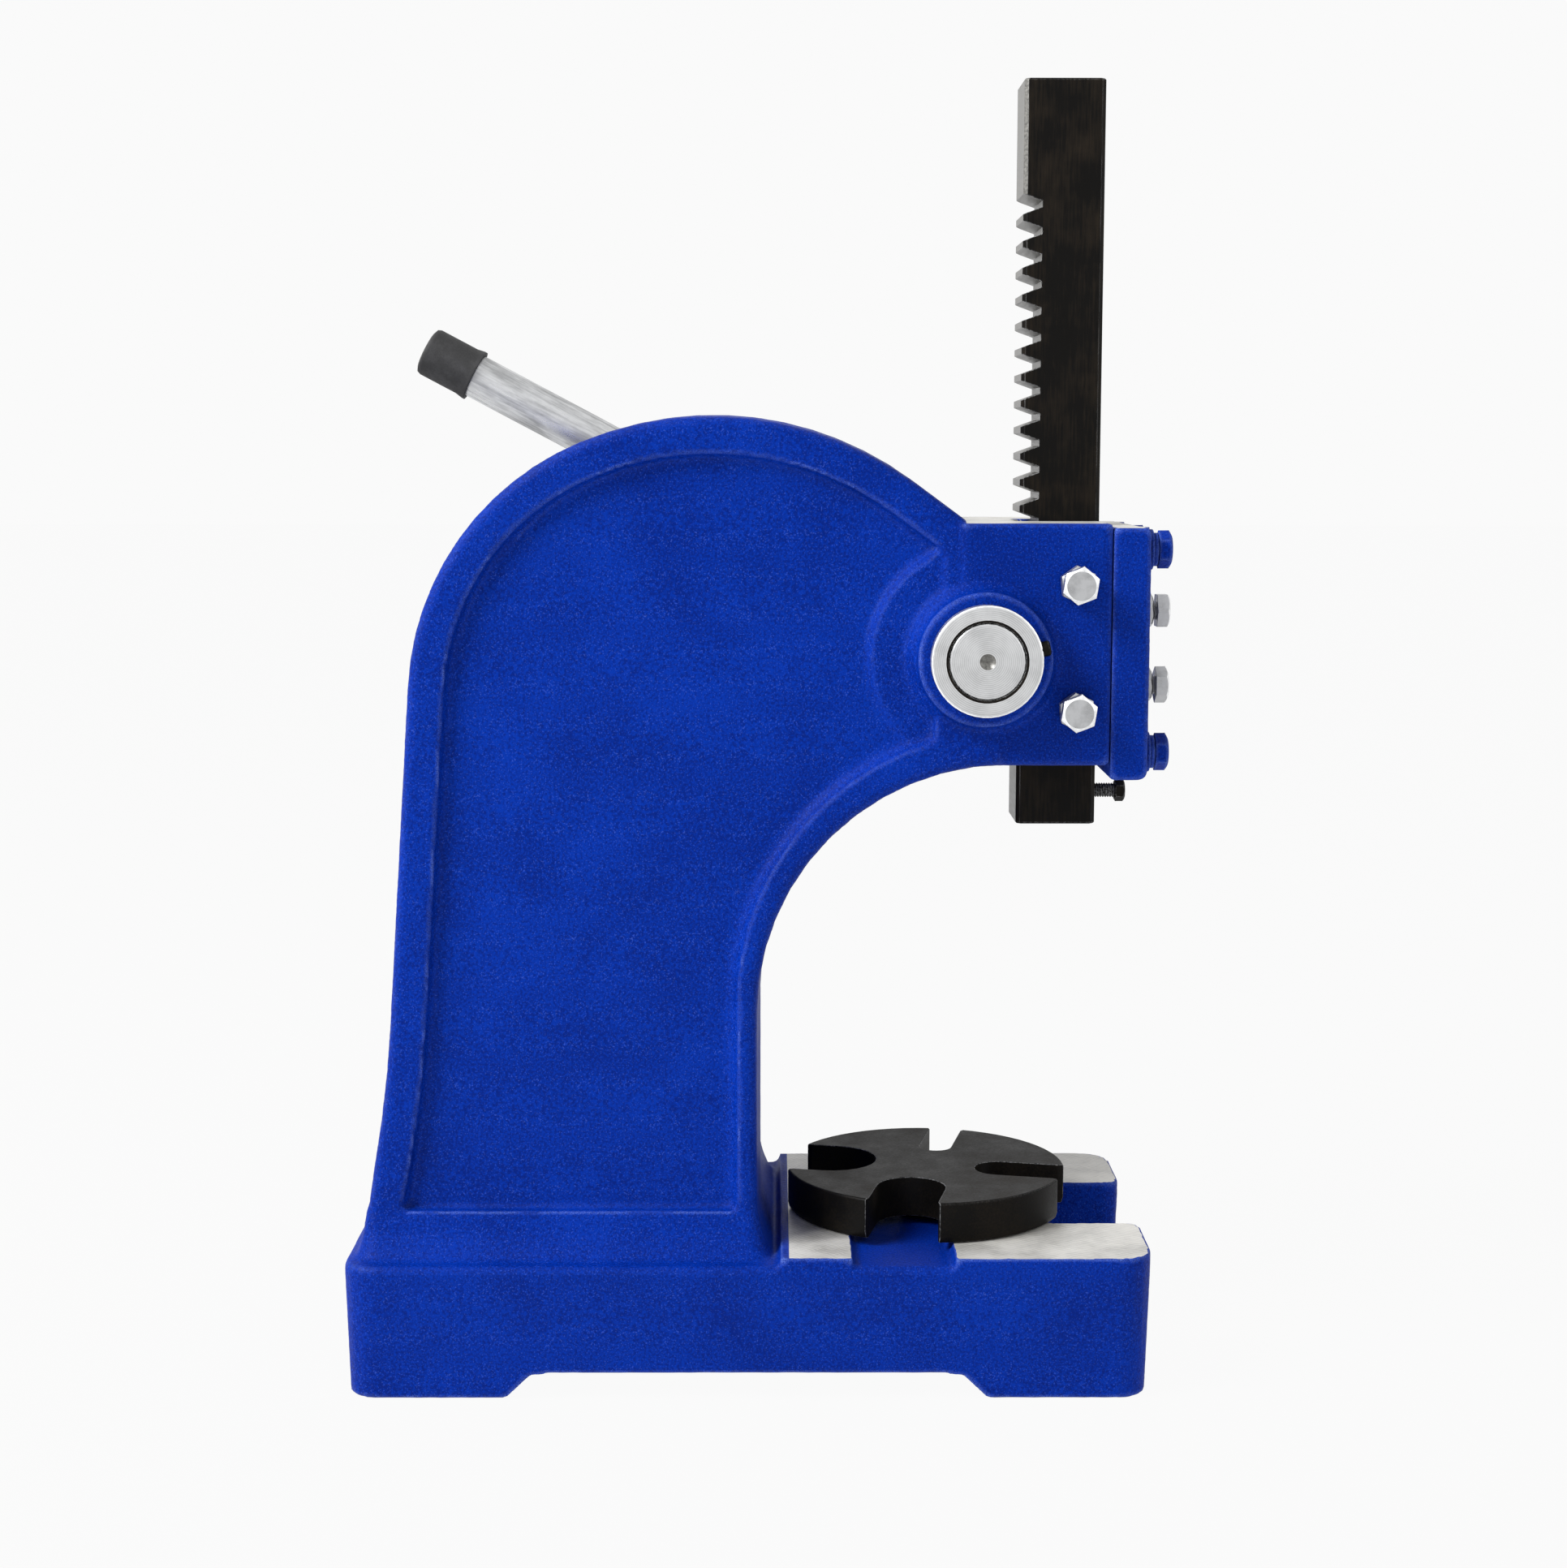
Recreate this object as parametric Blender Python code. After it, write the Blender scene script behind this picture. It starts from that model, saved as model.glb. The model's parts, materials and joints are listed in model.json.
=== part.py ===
"""Arbor press: cast C frame, toothed ram, pinion shaft with lever, cover plate, gibs, arbor plate.

Metres, +Z up. The origin is on the rear foot's underside, on the middle line of the press.
+X runs to the front of the press, and the lever is on the +Y side.
"""
import math

import bmesh
import bpy
from mathutils import Matrix, Vector

# Fits shared by all pieces
SEAT_GAP = 0.0003
OVERRUN = 0.004

# Rack and pinion
MODULE = 0.0033
PINION_TEETH = 12
PRESSURE_ANGLE = math.radians(20.0)
FLANK_GAP = 0.0002
DEDENDUM_SHARE = 1.25
PITCH = math.pi * MODULE
PITCH_RADIUS = MODULE * PINION_TEETH / 2
TIP_RADIUS = PITCH_RADIUS + MODULE
ROOT_RADIUS = PITCH_RADIUS - DEDENDUM_SHARE * MODULE

# Ram
RAM_SIDE = 0.032
RAM_X = 0.250
RAM_BOTTOM = 0.2202
RAM_LENGTH = 0.2947
RAM_CHAMFER = 0.0015
RAM_END_CHAMFER = 0.0006
NOTCHES_ABOVE_PINION = 17
NOTCHES_BELOW_PINION = 2
SOCKET_RADIUS = 0.008
SOCKET_DEPTH = 0.032
CLAMP_SCREW_RISE = 0.0118
CLAMP_SCREW_RADIUS = 0.003
CLAMP_SCREW_HEAD_ACROSS = 0.008
CLAMP_SCREW_HEAD_HEIGHT = 0.0044
CLAMP_SCREW_STANDOFF = 0.0096
CLAMP_SCREW_TIP_BACK = 0.001
RAM_BACK_X = RAM_X - RAM_SIDE / 2
RAM_FRONT_X = RAM_X + RAM_SIDE / 2

# Pinion axis: the rack's pitch line runs one module inside the ram's rear face
PINION_Z = 0.2903
PINION_X = RAM_BACK_X + MODULE - PITCH_RADIUS

# Base
BASE_AHEAD_OF_RAM = 0.035
BASE_WIDTH = 0.154
BASE_HEIGHT = 0.054
BASE_CORNER = 0.013
BASE_EDGE = 0.0028
BASE_HEEL = 0.002
BASE_DRAFT = 0.0015
REAR_FOOT_LENGTH = 0.0634
REAR_FOOT_BEHIND_ORIGIN = 0.0334
FRONT_FOOT_LENGTH = 0.064
ARCH_HEIGHT = 0.0106
ARCH_SLOPE = 0.009
ARCH_ROUND = 0.004
FORK_WIDTH = 0.057
PRONG_INNER_CORNER = 0.006
PAD_RISE = 0.0034
PAD_EDGE = 0.0004
REAR_PAD_BEHIND_RAM = 0.1114
REAR_PAD_LENGTH = 0.0284
FRONT_PAD_BEHIND_RAM = 0.043
BASE_REAR_X = -REAR_FOOT_BEHIND_ORIGIN
BASE_FRONT_X = RAM_X + BASE_AHEAD_OF_RAM
PAD_TOP = BASE_HEIGHT + PAD_RISE
REAR_PAD_START_X = RAM_X - REAR_PAD_BEHIND_RAM
FRONT_PAD_START_X = RAM_X - FRONT_PAD_BEHIND_RAM

# Plinth between the base and the column
PLINTH_HEIGHT = 0.018
PLINTH_SIDE_INSET = 0.016
PLINTH_REAR_INSET = 0.0068
PLINTH_FRONT_FLARE = 0.0105
PLINTH_TOP = BASE_HEIGHT + PLINTH_HEIGHT
COVE_SHARES = ((0.0, 0.0), (0.32, 0.12), (0.58, 0.32), (0.80, 0.60), (1.0, 1.0))

# Head's place over the ram
HEAD_BEHIND_RAM = 0.0403
SEAM_AHEAD_OF_RAM = 0.0172
HEAD_REAR_X = RAM_X - HEAD_BEHIND_RAM
HEAD_SEAM_X = RAM_X + SEAM_AHEAD_OF_RAM

# Column, in the side view; its arcs keep their share of the reach from the base's rear to the ram
COLUMN_FOOT_HALF_WIDTH = 0.061
COLUMN_SIDE_LEAN = 0.035
COLUMN_DRAFT = 0.0012
COLUMN_EDGE_ROUND = 0.0035
COLUMN_EDGE_ANGLE = math.radians(50.0)
COLUMN_SINK_SHARE = 1 / 3
COLUMN_REACH = RAM_X - BASE_REAR_X
LEG_LEAN = 0.0640
LEG_FLARE = 0.0058
LEG_FLARE_HEIGHT = 0.073
SHOULDER_RADIUS_SHARE = 0.3853
SHOULDER_RADIUS = SHOULDER_RADIUS_SHARE * COLUMN_REACH
SHOULDER_CENTRE_SHARE = 0.4795
SHOULDER_X = BASE_REAR_X + SHOULDER_CENTRE_SHARE * COLUMN_REACH
SHOULDER_Z = 0.2722
CROWN_RADIUS_SHARE = 0.4728
CROWN_RADIUS = CROWN_RADIUS_SHARE * COLUMN_REACH
CROWN_START = math.radians(112.4)
CROWN_END = math.radians(53.7)
THROAT_RADIUS_SHARE = 0.3458
THROAT_RADIUS = THROAT_RADIUS_SHARE * COLUMN_REACH
THROAT_BEHIND_RAM = 0.0227
THROAT_X = RAM_X - THROAT_BEHIND_RAM
THROAT_TOP_Z = 0.2486
THROAT_Z = THROAT_TOP_Z - THROAT_RADIUS

# Recess in each side of the column
RIM_WIDTH = 0.0140
RECESS_SLOPE = 0.0030
THROAT_RIM_WIDTH = 0.0072
THROAT_RIM_HEAD_WIDTH = 0.0130
THROAT_SLOPE = 0.0062
THROAT_RECESS_START = math.radians(105.0)
RECESS_DEPTH = 0.005
RECESS_FALL_SHARES = ((0.0, 0.0), (0.30, 0.62), (0.62, 0.90), (1.0, 1.0))

# Head
HEAD_BOTTOM = 0.2483
HEAD_TOP = 0.3425
HEAD_HALF_WIDTH = 0.053
HEAD_EDGE_ROUND = 0.0018
CHANNEL_CLEARANCE = 0.0003
PAD_RADIUS = 0.0445
PAD_HALF_WIDTH = 0.0508
PAD_SLOPE = 0.0025
PAD_ARC_START = math.radians(118.0)
PAD_ARC_END = math.radians(242.0)
BOSS_RADIUS = 0.0262
BOSS_ROOT_RADIUS = 0.0305
BOSS_HALF_WIDTH = 0.062
BOSS_EDGE = 0.0010
FAR_BOSS_RADIUS = 0.0305
FAR_BOSS_ROOT_RADIUS = 0.0345
BOSS_ROOT_SHARES = ((0.85, 0.0), (0.25, 0.45), (0.0, 1.0))

# Pinion shaft, collar and hub
JOURNAL_RADIUS = 0.0145
FAR_JOURNAL_RADIUS = 0.0234
PINION_FACE_HALF = 0.0170
SHAFT_END_OUT = 0.0082
SHAFT_EDGE = 0.0008
CENTRE_MARK_RADIUS = 0.0031
CENTRE_MARK_DEPTH = 0.0028
COLLAR_RADIUS = 0.0215
COLLAR_THICKNESS = 0.0077
COLLAR_CHAMFER = 0.0014
COLLAR_BORE_CHAMFER = 0.0005
SET_SCREW_RADIUS = 0.0030
SET_SCREW_ANGLE = math.radians(12.3)
SET_SCREW_OUT = 0.0032
HUB_RADIUS = 0.0240
HUB_COLLAR_STEP = 0.0020
HUB_END = 0.1120
HUB_EDGE = 0.0015

# Lever
LEVER_PLANE = 0.093
LEVER_RADIUS = 0.0095
LEVER_UP = 0.2640
LEVER_DOWN = 0.0800
LEVER_RISE = math.radians(27.85)
LEVER_END_CHAMFER = 0.0012
CAP_LENGTH = 0.0240
CAP_RADIUS = 0.0107
CAP_RIM_RADIUS = 0.0113
CAP_RIM_LENGTH = 0.0022
CAP_END_THICKNESS = 0.0020
CAP_END_ROUND = 0.0022

# Cover plate and its bolts
COVER_THICKNESS = 0.0146
COVER_BOTTOM = 0.2426
COVER_TOP = 0.3408
COVER_LOWER_ROUND = 0.0035
COVER_UPPER_CHAMFER = 0.0014
COVER_EDGE = 0.0010
COVER_EDGE_ANGLE = math.radians(60.0)
COVER_BOSS_RADIUS = 0.0100
COVER_BOSS_HEIGHT = 0.0010
COVER_BOLT_Y = 0.036
COVER_BOLT_HEIGHTS = (0.2521, 0.3319)
COVER_BOLT_GRIP_IN_HEAD = 0.0195
COVER_BACK_X = HEAD_SEAM_X + SEAT_GAP / 2
COVER_FRONT_X = HEAD_SEAM_X + COVER_THICKNESS
BOLT_RADIUS = 0.004
BOLT_HEAD_ACROSS = 0.0130
BOLT_HEAD_HEIGHT = 0.0053
BOLT_TIP_CHAMFER_SHARE = 0.2
HEX_TURN = math.radians(30.0)
NUT_HEIGHT = 0.0065
WASHER_RADIUS = 0.0080
WASHER_THICKNESS = 0.0012
SPRING_WASHER_RADIUS = 0.0066
SPRING_WASHER_THICKNESS = 0.0015
SPRING_WASHER_SLIT = 0.0012

# Gibs and their adjusting bolts
FRONT_GIB_WIDTH = 0.026
FRONT_GIB_THICKNESS = 0.0042
SIDE_GIB_THICKNESS = 0.005
SIDE_GIB_BEHIND_AXIS = 0.008
GIB_BOTTOM = 0.2540
GIB_TOP = 0.3345
GIB_END_CHAMFER = 0.0008
FRONT_ADJUSTER_HEIGHTS = (0.2755, 0.3058)
FRONT_ADJUSTER_NECK = 0.0014
SIDE_ADJUSTER_HEIGHTS = (0.2700, 0.3190)
SIDE_ADJUSTER_AHEAD = 0.0033
SIDE_ADJUSTER_NECK = 0.0012

# Arbor plate
PLATE_BEHIND_RAM = 0.0506
PLATE_RADIUS = 0.058
PLATE_THICKNESS = 0.0164
PLATE_TOP_CHAMFER = 0.0006
PLATE_FOOT_CHAMFER = 0.0024
PLATE_FOOT_INSET = 0.0008
PLATE_TURN = math.radians(-12.5)
SLOT_WIDTHS = (0.020, 0.0135, 0.038, 0.028)
SLOT_TIP_REACH = 0.021
SLOT_MOUTH_FLARE = 0.0012
SPIGOT_RADIUS = 0.010
SPIGOT_LENGTH = 0.014

# Facets of round shapes, as counts
FINE_SIDES = 44
PLATE_SIDES = 60
ROUND_SIDES = 28
RING_SIDES = 22
SMALL_SIDES = 16
ARC_STEPS = 12
CORNER_STEPS = 4
TOOTH_STEPS = 5
EDGE_STEPS = 2
SMOOTH_ANGLE = math.radians(35.0)


# Materials

def make_material(name, colour, roughness, metallic):
    """A plain material with the piece's own colour and gloss."""
    material = bpy.data.materials.new(name)
    material.use_nodes = True
    shader = material.node_tree.nodes["Principled BSDF"]
    shader.inputs["Base Color"].default_value = (*colour, 1.0)
    shader.inputs["Roughness"].default_value = roughness
    shader.inputs["Metallic"].default_value = metallic
    return material


def blue_paint(piece_name):
    return make_material(piece_name + "_blue_paint", (0.007, 0.045, 0.31), 0.42, 0.0)


def black_oxide(piece_name):
    return make_material(piece_name + "_black_oxide", (0.022, 0.021, 0.019), 0.48, 0.6)


def bright_zinc(piece_name):
    return make_material(piece_name + "_bright_zinc", (0.62, 0.62, 0.61), 0.34, 1.0)


def turned_steel(piece_name):
    return make_material(piece_name + "_turned_steel", (0.55, 0.55, 0.54), 0.30, 1.0)


def black_rubber(piece_name):
    return make_material(piece_name + "_black_rubber", (0.012, 0.012, 0.012), 0.65, 0.0)


# Modelling helpers

def add_piece(name, mesh):
    """An object in the scene that holds the given bmesh."""
    bmesh.ops.recalc_face_normals(mesh, faces=mesh.faces)
    data = bpy.data.meshes.new(name)
    mesh.to_mesh(data)
    mesh.free()
    piece = bpy.data.objects.new(name, data)
    bpy.context.scene.collection.objects.link(piece)
    return piece


def loft(name, rows):
    """A closed skin through rows of like outlines, with a flat face at each end."""
    mesh = bmesh.new()
    rings = [[mesh.verts.new(point) for point in row] for row in rows]
    mesh.faces.new(rings[0])
    mesh.faces.new(list(reversed(rings[-1])))
    for low, high in zip(rings, rings[1:]):
        for index in range(len(low)):
            after = (index + 1) % len(low)
            mesh.faces.new((low[index], high[index], high[after], low[after]))
    return add_piece(name, mesh)


def prism(name, outline, axis, start, end):
    """An outline, given in the other two axes in order, extruded along X, Y or Z."""
    def place(point, level):
        first, second = point
        if axis == "X":
            return (level, first, second)
        if axis == "Y":
            return (first, level, second)
        return (first, second, level)
    return loft(name, [[place(point, level) for point in outline] for level in (start, end)])


def block(name, low, high):
    """A plain block between two corners."""
    outline = ((low[0], low[1]), (high[0], low[1]), (high[0], high[1]), (low[0], high[1]))
    return prism(name, outline, "Z", low[2], high[2])


def turned(name, profile, axis, centre, sides):
    """A profile of (radius, level along the axis) turned about an axis through a centre."""
    along = {"X": Vector((1, 0, 0)), "Y": Vector((0, 1, 0)), "Z": Vector((0, 0, 1))}[axis]
    across = {"X": Vector((0, 1, 0)), "Y": Vector((0, 0, 1)), "Z": Vector((1, 0, 0))}[axis]
    mesh = bmesh.new()
    verts = [mesh.verts.new(across * radius + along * level) for radius, level in profile]
    edges = [mesh.edges.new(pair) for pair in zip(verts, verts[1:])]
    if profile[0][0] > 0:
        edges.append(mesh.edges.new((verts[-1], verts[0])))
    bmesh.ops.spin(mesh, geom=verts + edges, cent=(0, 0, 0), axis=along,
                   angle=math.tau, steps=sides, use_merge=True)
    bmesh.ops.remove_doubles(mesh, verts=mesh.verts, dist=SEAT_GAP / ROUND_SIDES)
    bmesh.ops.translate(mesh, verts=mesh.verts, vec=Vector(centre))
    return add_piece(name, mesh)


def rod(name, radius, axis, centre, start, end, sides):
    """A plain round bar between two levels on an axis."""
    profile = ((0, start), (radius, start), (radius, end), (0, end))
    return turned(name, profile, axis, centre, sides)


def settle(piece):
    """Takes the piece's modifiers into its mesh."""
    bpy.context.view_layer.update()
    view = bpy.context.evaluated_depsgraph_get()
    solid = bpy.data.meshes.new_from_object(piece.evaluated_get(view))
    spent = piece.data
    piece.modifiers.clear()
    piece.data = solid
    bpy.data.meshes.remove(spent)


def combine(piece, tool, operation):
    """Joins, cuts or trims the piece with a tool, which is then removed."""
    step = piece.modifiers.new(tool.name, "BOOLEAN")
    step.operation = operation
    step.solver = "EXACT"
    step.object = tool
    settle(piece)
    spent = tool.data
    bpy.data.objects.remove(tool)
    bpy.data.meshes.remove(spent)


def add(piece, tool):
    combine(piece, tool, "UNION")


def cut(piece, tool):
    combine(piece, tool, "DIFFERENCE")


def trim(piece, tool):
    combine(piece, tool, "INTERSECT")


def soften(piece, width, steps, angle=SMOOTH_ANGLE):
    """Rounds every edge of the piece that is sharper than the angle."""
    bevel = piece.modifiers.new("edge", "BEVEL")
    bevel.width = width
    bevel.segments = steps
    bevel.limit_method = "ANGLE"
    bevel.angle_limit = angle
    bevel.use_clamp_overlap = True
    settle(piece)


def finish(piece, material, smooth=True):
    """Gives the piece its material and its shading."""
    piece.data.materials.clear()
    piece.data.materials.append(material)
    if smooth:
        piece.data.shade_smooth()
        piece.data.set_sharp_from_angle(angle=SMOOTH_ANGLE)
    return piece


def set_origin(piece, point):
    """Moves the piece's origin to a point without moving its shape."""
    piece.data.transform(Matrix.Translation(-Vector(point)))
    piece.location = point


def arc(centre, radius, start, end, steps):
    """Points of an arc, both ends included."""
    angles = [start + (end - start) * index / steps for index in range(steps + 1)]
    return [(centre[0] + radius * math.cos(a), centre[1] + radius * math.sin(a)) for a in angles]


def hexagon(across):
    """The corners of a hexagon, given its width across flats."""
    radius = across / math.sqrt(3)
    angles = [HEX_TURN + math.tau / 6 * index for index in range(6)]
    return [(radius * math.cos(a), radius * math.sin(a)) for a in angles]


# Frame casting

def column_half_width(height):
    return COLUMN_FOOT_HALF_WIDTH - COLUMN_SIDE_LEAN * (height - PLINTH_TOP)


def leg_x(tangent, height):
    """The rear edge of the leg at a height: a leaning line that flares near the plinth."""
    line = tangent[0] - LEG_LEAN * (tangent[1] - height)
    share = (PLINTH_TOP + LEG_FLARE_HEIGHT - height) / LEG_FLARE_HEIGHT
    return line - LEG_FLARE * min(max(share, 0.0), 1.0) ** 2


def back_edge(inset, foot, front_x):
    """The column's rear edge in side view: leg, shoulder arc, crown arc and the run to the head."""
    lean = math.atan(LEG_LEAN)
    shoulder = (SHOULDER_X, SHOULDER_Z)
    reach = SHOULDER_RADIUS - inset
    tangent = (shoulder[0] - reach * math.cos(lean), shoulder[1] + reach * math.sin(lean))
    flare_step = LEG_FLARE_HEIGHT / CORNER_STEPS
    heights = [foot] + [PLINTH_TOP + flare_step * index for index in range(1, CORNER_STEPS + 1)]
    points = [(leg_x(tangent, height), height) for height in heights]
    points += arc(shoulder, reach, math.pi - lean, CROWN_START, ARC_STEPS)
    drop = SHOULDER_RADIUS - CROWN_RADIUS
    crown = (shoulder[0] + drop * math.cos(CROWN_START), shoulder[1] + drop * math.sin(CROWN_START))
    points += arc(crown, CROWN_RADIUS - inset, CROWN_START, CROWN_END, ARC_STEPS)[1:]
    run = front_x - points[-1][0]
    points.append((front_x, points[-1][1] - run / math.tan(CROWN_END)))
    return points


def throat_edge(vertical_inset, head_inset, foot, first_angle):
    """The column's front edge in side view, from the head down the throat to the foot."""
    points = []
    for index in range(ARC_STEPS + 1):
        share = index / ARC_STEPS
        angle = first_angle + (math.pi - first_angle) * share
        reach = THROAT_RADIUS + head_inset + (vertical_inset - head_inset) * share
        points.append((THROAT_X + reach * math.cos(angle), THROAT_Z + reach * math.sin(angle)))
    points.append((THROAT_X - THROAT_RADIUS - vertical_inset, foot))
    return points


def column_outline(outset):
    foot = BASE_HEIGHT + PLINTH_HEIGHT * COLUMN_SINK_SHARE
    back = back_edge(-outset, foot, HEAD_REAR_X + RIM_WIDTH)
    front = throat_edge(-outset, -outset, foot, math.pi / 2)
    return back + front


def recess_outline(share):
    foot = PLINTH_TOP
    back = back_edge(RIM_WIDTH + RECESS_SLOPE * share, foot, HEAD_REAR_X - RIM_WIDTH / 2)
    slope = THROAT_SLOPE * share
    front = throat_edge(THROAT_RIM_WIDTH + slope, THROAT_RIM_HEAD_WIDTH + slope, foot,
                        THROAT_RECESS_START)
    return back + front


def make_column():
    """The C column with drafted edges, rounded rim and a recess in each side."""
    rows = []
    for side, outset in ((-1, 0.0), (0, COLUMN_DRAFT), (1, 0.0)):
        outline = column_outline(outset)
        rows.append([(x, side * column_half_width(z), z) for x, z in outline])
    column = loft("column", rows)
    soften(column, COLUMN_EDGE_ROUND, EDGE_STEPS, COLUMN_EDGE_ANGLE)
    for side in (-1, 1):
        rows = [[(x, side * (column_half_width(z) + OVERRUN), z) for x, z in recess_outline(0.0)]]
        for inward, fall in RECESS_FALL_SHARES:
            depth = RECESS_DEPTH * fall
            outline = recess_outline(inward)
            rows.append([(x, side * (column_half_width(z) - depth), z) for x, z in outline])
        cut(column, loft("recess", rows))
    return column


def base_plan(inset):
    """The base seen from above: a rounded block with a fork open to the front."""
    rear = BASE_REAR_X + inset
    front = BASE_FRONT_X - inset
    side = BASE_WIDTH / 2 - inset
    corner = BASE_CORNER - inset
    fork = FORK_WIDTH / 2 + inset
    inner = PRONG_INNER_CORNER - inset / 2
    quarter = math.pi / 2
    fork_end = (RAM_X, 0.0)
    points = arc((rear + corner, -side + corner), corner, 2 * quarter, 3 * quarter, CORNER_STEPS)
    points += arc((front - corner, -side + corner), corner, -quarter, 0, CORNER_STEPS)
    points += arc((front - inner, -fork - inner), inner, 0, quarter, CORNER_STEPS)
    points += arc(fork_end, fork, 3 * quarter, quarter, ARC_STEPS)
    points += arc((front - inner, fork + inner), inner, -quarter, 0, CORNER_STEPS)
    points += arc((front - corner, side - corner), corner, 0, quarter, CORNER_STEPS)
    points += arc((rear + corner, side - corner), corner, quarter, 2 * quarter, CORNER_STEPS)
    return points


def make_base():
    """The base block with rounded heel and top edge, drafted sides and the arch between its feet."""
    rows = []
    heel = BASE_DRAFT + BASE_HEEL
    for index in range(CORNER_STEPS):
        angle = math.pi / 2 * index / (CORNER_STEPS - 1)
        inset = heel - BASE_HEEL * math.sin(angle)
        rows.append((min(inset, PRONG_INNER_CORNER), BASE_HEEL * (1 - math.cos(angle)) / 2))
    for index in range(CORNER_STEPS - 1):
        angle = math.pi / 2 * index / (CORNER_STEPS - 2)
        rows.append((BASE_EDGE * (1 - math.cos(angle)), BASE_HEIGHT - BASE_EDGE * (1 - math.sin(angle))))
    base = loft("base", [[(x, y, z) for x, y in base_plan(inset)] for inset, z in rows])
    return base


def make_arch():
    """The cutter for the arch that leaves the base standing on its feet."""
    rear = BASE_REAR_X + REAR_FOOT_LENGTH
    front = BASE_FRONT_X - FRONT_FOOT_LENGTH
    outline = [(rear, -OVERRUN), (rear, 0.0)]
    outline += [(rear + ARCH_SLOPE - ARCH_ROUND / 2, ARCH_HEIGHT - ARCH_ROUND)]
    outline += [(rear + ARCH_SLOPE + ARCH_ROUND / 4, ARCH_HEIGHT - ARCH_ROUND / 4)]
    outline += [(rear + ARCH_SLOPE + ARCH_ROUND * 2, ARCH_HEIGHT)]
    outline += [(front - ARCH_SLOPE - ARCH_ROUND * 2, ARCH_HEIGHT)]
    outline += [(front - ARCH_SLOPE - ARCH_ROUND / 4, ARCH_HEIGHT - ARCH_ROUND / 4)]
    outline += [(front - ARCH_SLOPE + ARCH_ROUND / 2, ARCH_HEIGHT - ARCH_ROUND)]
    outline += [(front, 0.0), (front, -OVERRUN)]
    reach = BASE_WIDTH / 2 + OVERRUN
    return prism("arch", outline, "Y", -reach, reach)


def make_front_pads():
    """The machined tops of the two prongs."""
    foot = BASE_HEIGHT - PAD_RISE
    rows = [(0.0, foot), (0.0, PAD_TOP - PAD_EDGE), (PAD_EDGE, PAD_TOP)]
    pads = loft("front_pads", [[(x, y, z) for x, y in base_plan(inset)] for inset, z in rows])
    reach = BASE_WIDTH / 2 + OVERRUN
    low = (BASE_REAR_X - OVERRUN, -reach, foot - OVERRUN)
    high = (FRONT_PAD_START_X, reach, PAD_TOP + OVERRUN)
    cut(pads, block("behind_pads", low, high))
    return pads


def make_rear_pad():
    """The machined strip across the base in front of the column."""
    half = BASE_WIDTH / 2 - PAD_EDGE
    low = (REAR_PAD_START_X, -half, BASE_HEIGHT - PAD_RISE)
    high = (REAR_PAD_START_X + REAR_PAD_LENGTH, half, PAD_TOP)
    pad = block("rear_pad", low, high)
    soften(pad, PAD_EDGE, 1)
    return pad


def plinth_row(inset_share, rise_share):
    """One level of the coved plinth, wide at the base's top and column-sized at its own top."""
    side = BASE_WIDTH / 2 - BASE_EDGE / 2 - (PLINTH_SIDE_INSET - BASE_EDGE / 2) * inset_share
    rear = BASE_REAR_X + BASE_EDGE / 2 + PLINTH_REAR_INSET * inset_share
    column_front = THROAT_X - THROAT_RADIUS
    front = column_front + PLINTH_FRONT_FLARE * (1 - inset_share)
    corner = BASE_CORNER - (BASE_CORNER - COLUMN_EDGE_ROUND) * inset_share
    height = BASE_HEIGHT - PAD_RISE + (PLINTH_HEIGHT + PAD_RISE) * rise_share
    quarter = math.pi / 2
    corners = ((rear + corner, -side + corner, 2), (front - corner, -side + corner, 3),
               (front - corner, side - corner, 0), (rear + corner, side - corner, 1))
    points = []
    for x, y, turn in corners:
        points += arc((x, y), corner, turn * quarter, (turn + 1) * quarter, CORNER_STEPS)
    return [(x, y, height) for x, y in points]


def make_plinth():
    return loft("plinth", [plinth_row(inward, up) for inward, up in COVE_SHARES])


def make_head():
    """The block that holds ram and pinion, open to the front where the cover plate goes."""
    low = (HEAD_REAR_X, -HEAD_HALF_WIDTH, HEAD_BOTTOM)
    high = (HEAD_SEAM_X - SEAT_GAP / 2, HEAD_HALF_WIDTH, HEAD_TOP)
    head = block("head", low, high)
    soften(head, HEAD_EDGE_ROUND, EDGE_STEPS)
    return head


def make_hub_pad(side):
    """The raised pad round the bearing boss, which runs out into the head's upper corner."""
    rows = []
    for radius, half in ((PAD_RADIUS + PAD_SLOPE, PAD_HALF_WIDTH - RECESS_DEPTH),
                         (PAD_RADIUS, PAD_HALF_WIDTH - PAD_SLOPE / 3),
                         (PAD_RADIUS - PAD_SLOPE / 2, PAD_HALF_WIDTH)):
        outline = arc((PINION_X, PINION_Z), radius, PAD_ARC_START, PAD_ARC_END, ARC_STEPS)
        grow = radius - PAD_RADIUS
        outline += [(HEAD_REAR_X + PAD_SLOPE, HEAD_BOTTOM + PAD_SLOPE - grow / 2)]
        outline += [(HEAD_REAR_X + PAD_SLOPE, HEAD_TOP - PAD_SLOPE + grow / 2)]
        outline += [(HEAD_REAR_X - PAD_SLOPE - grow / 2, HEAD_TOP - PAD_SLOPE + grow / 2)]
        rows.append([(x, side * half, z) for x, z in outline])
    return loft("hub_pad", rows)


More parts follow.
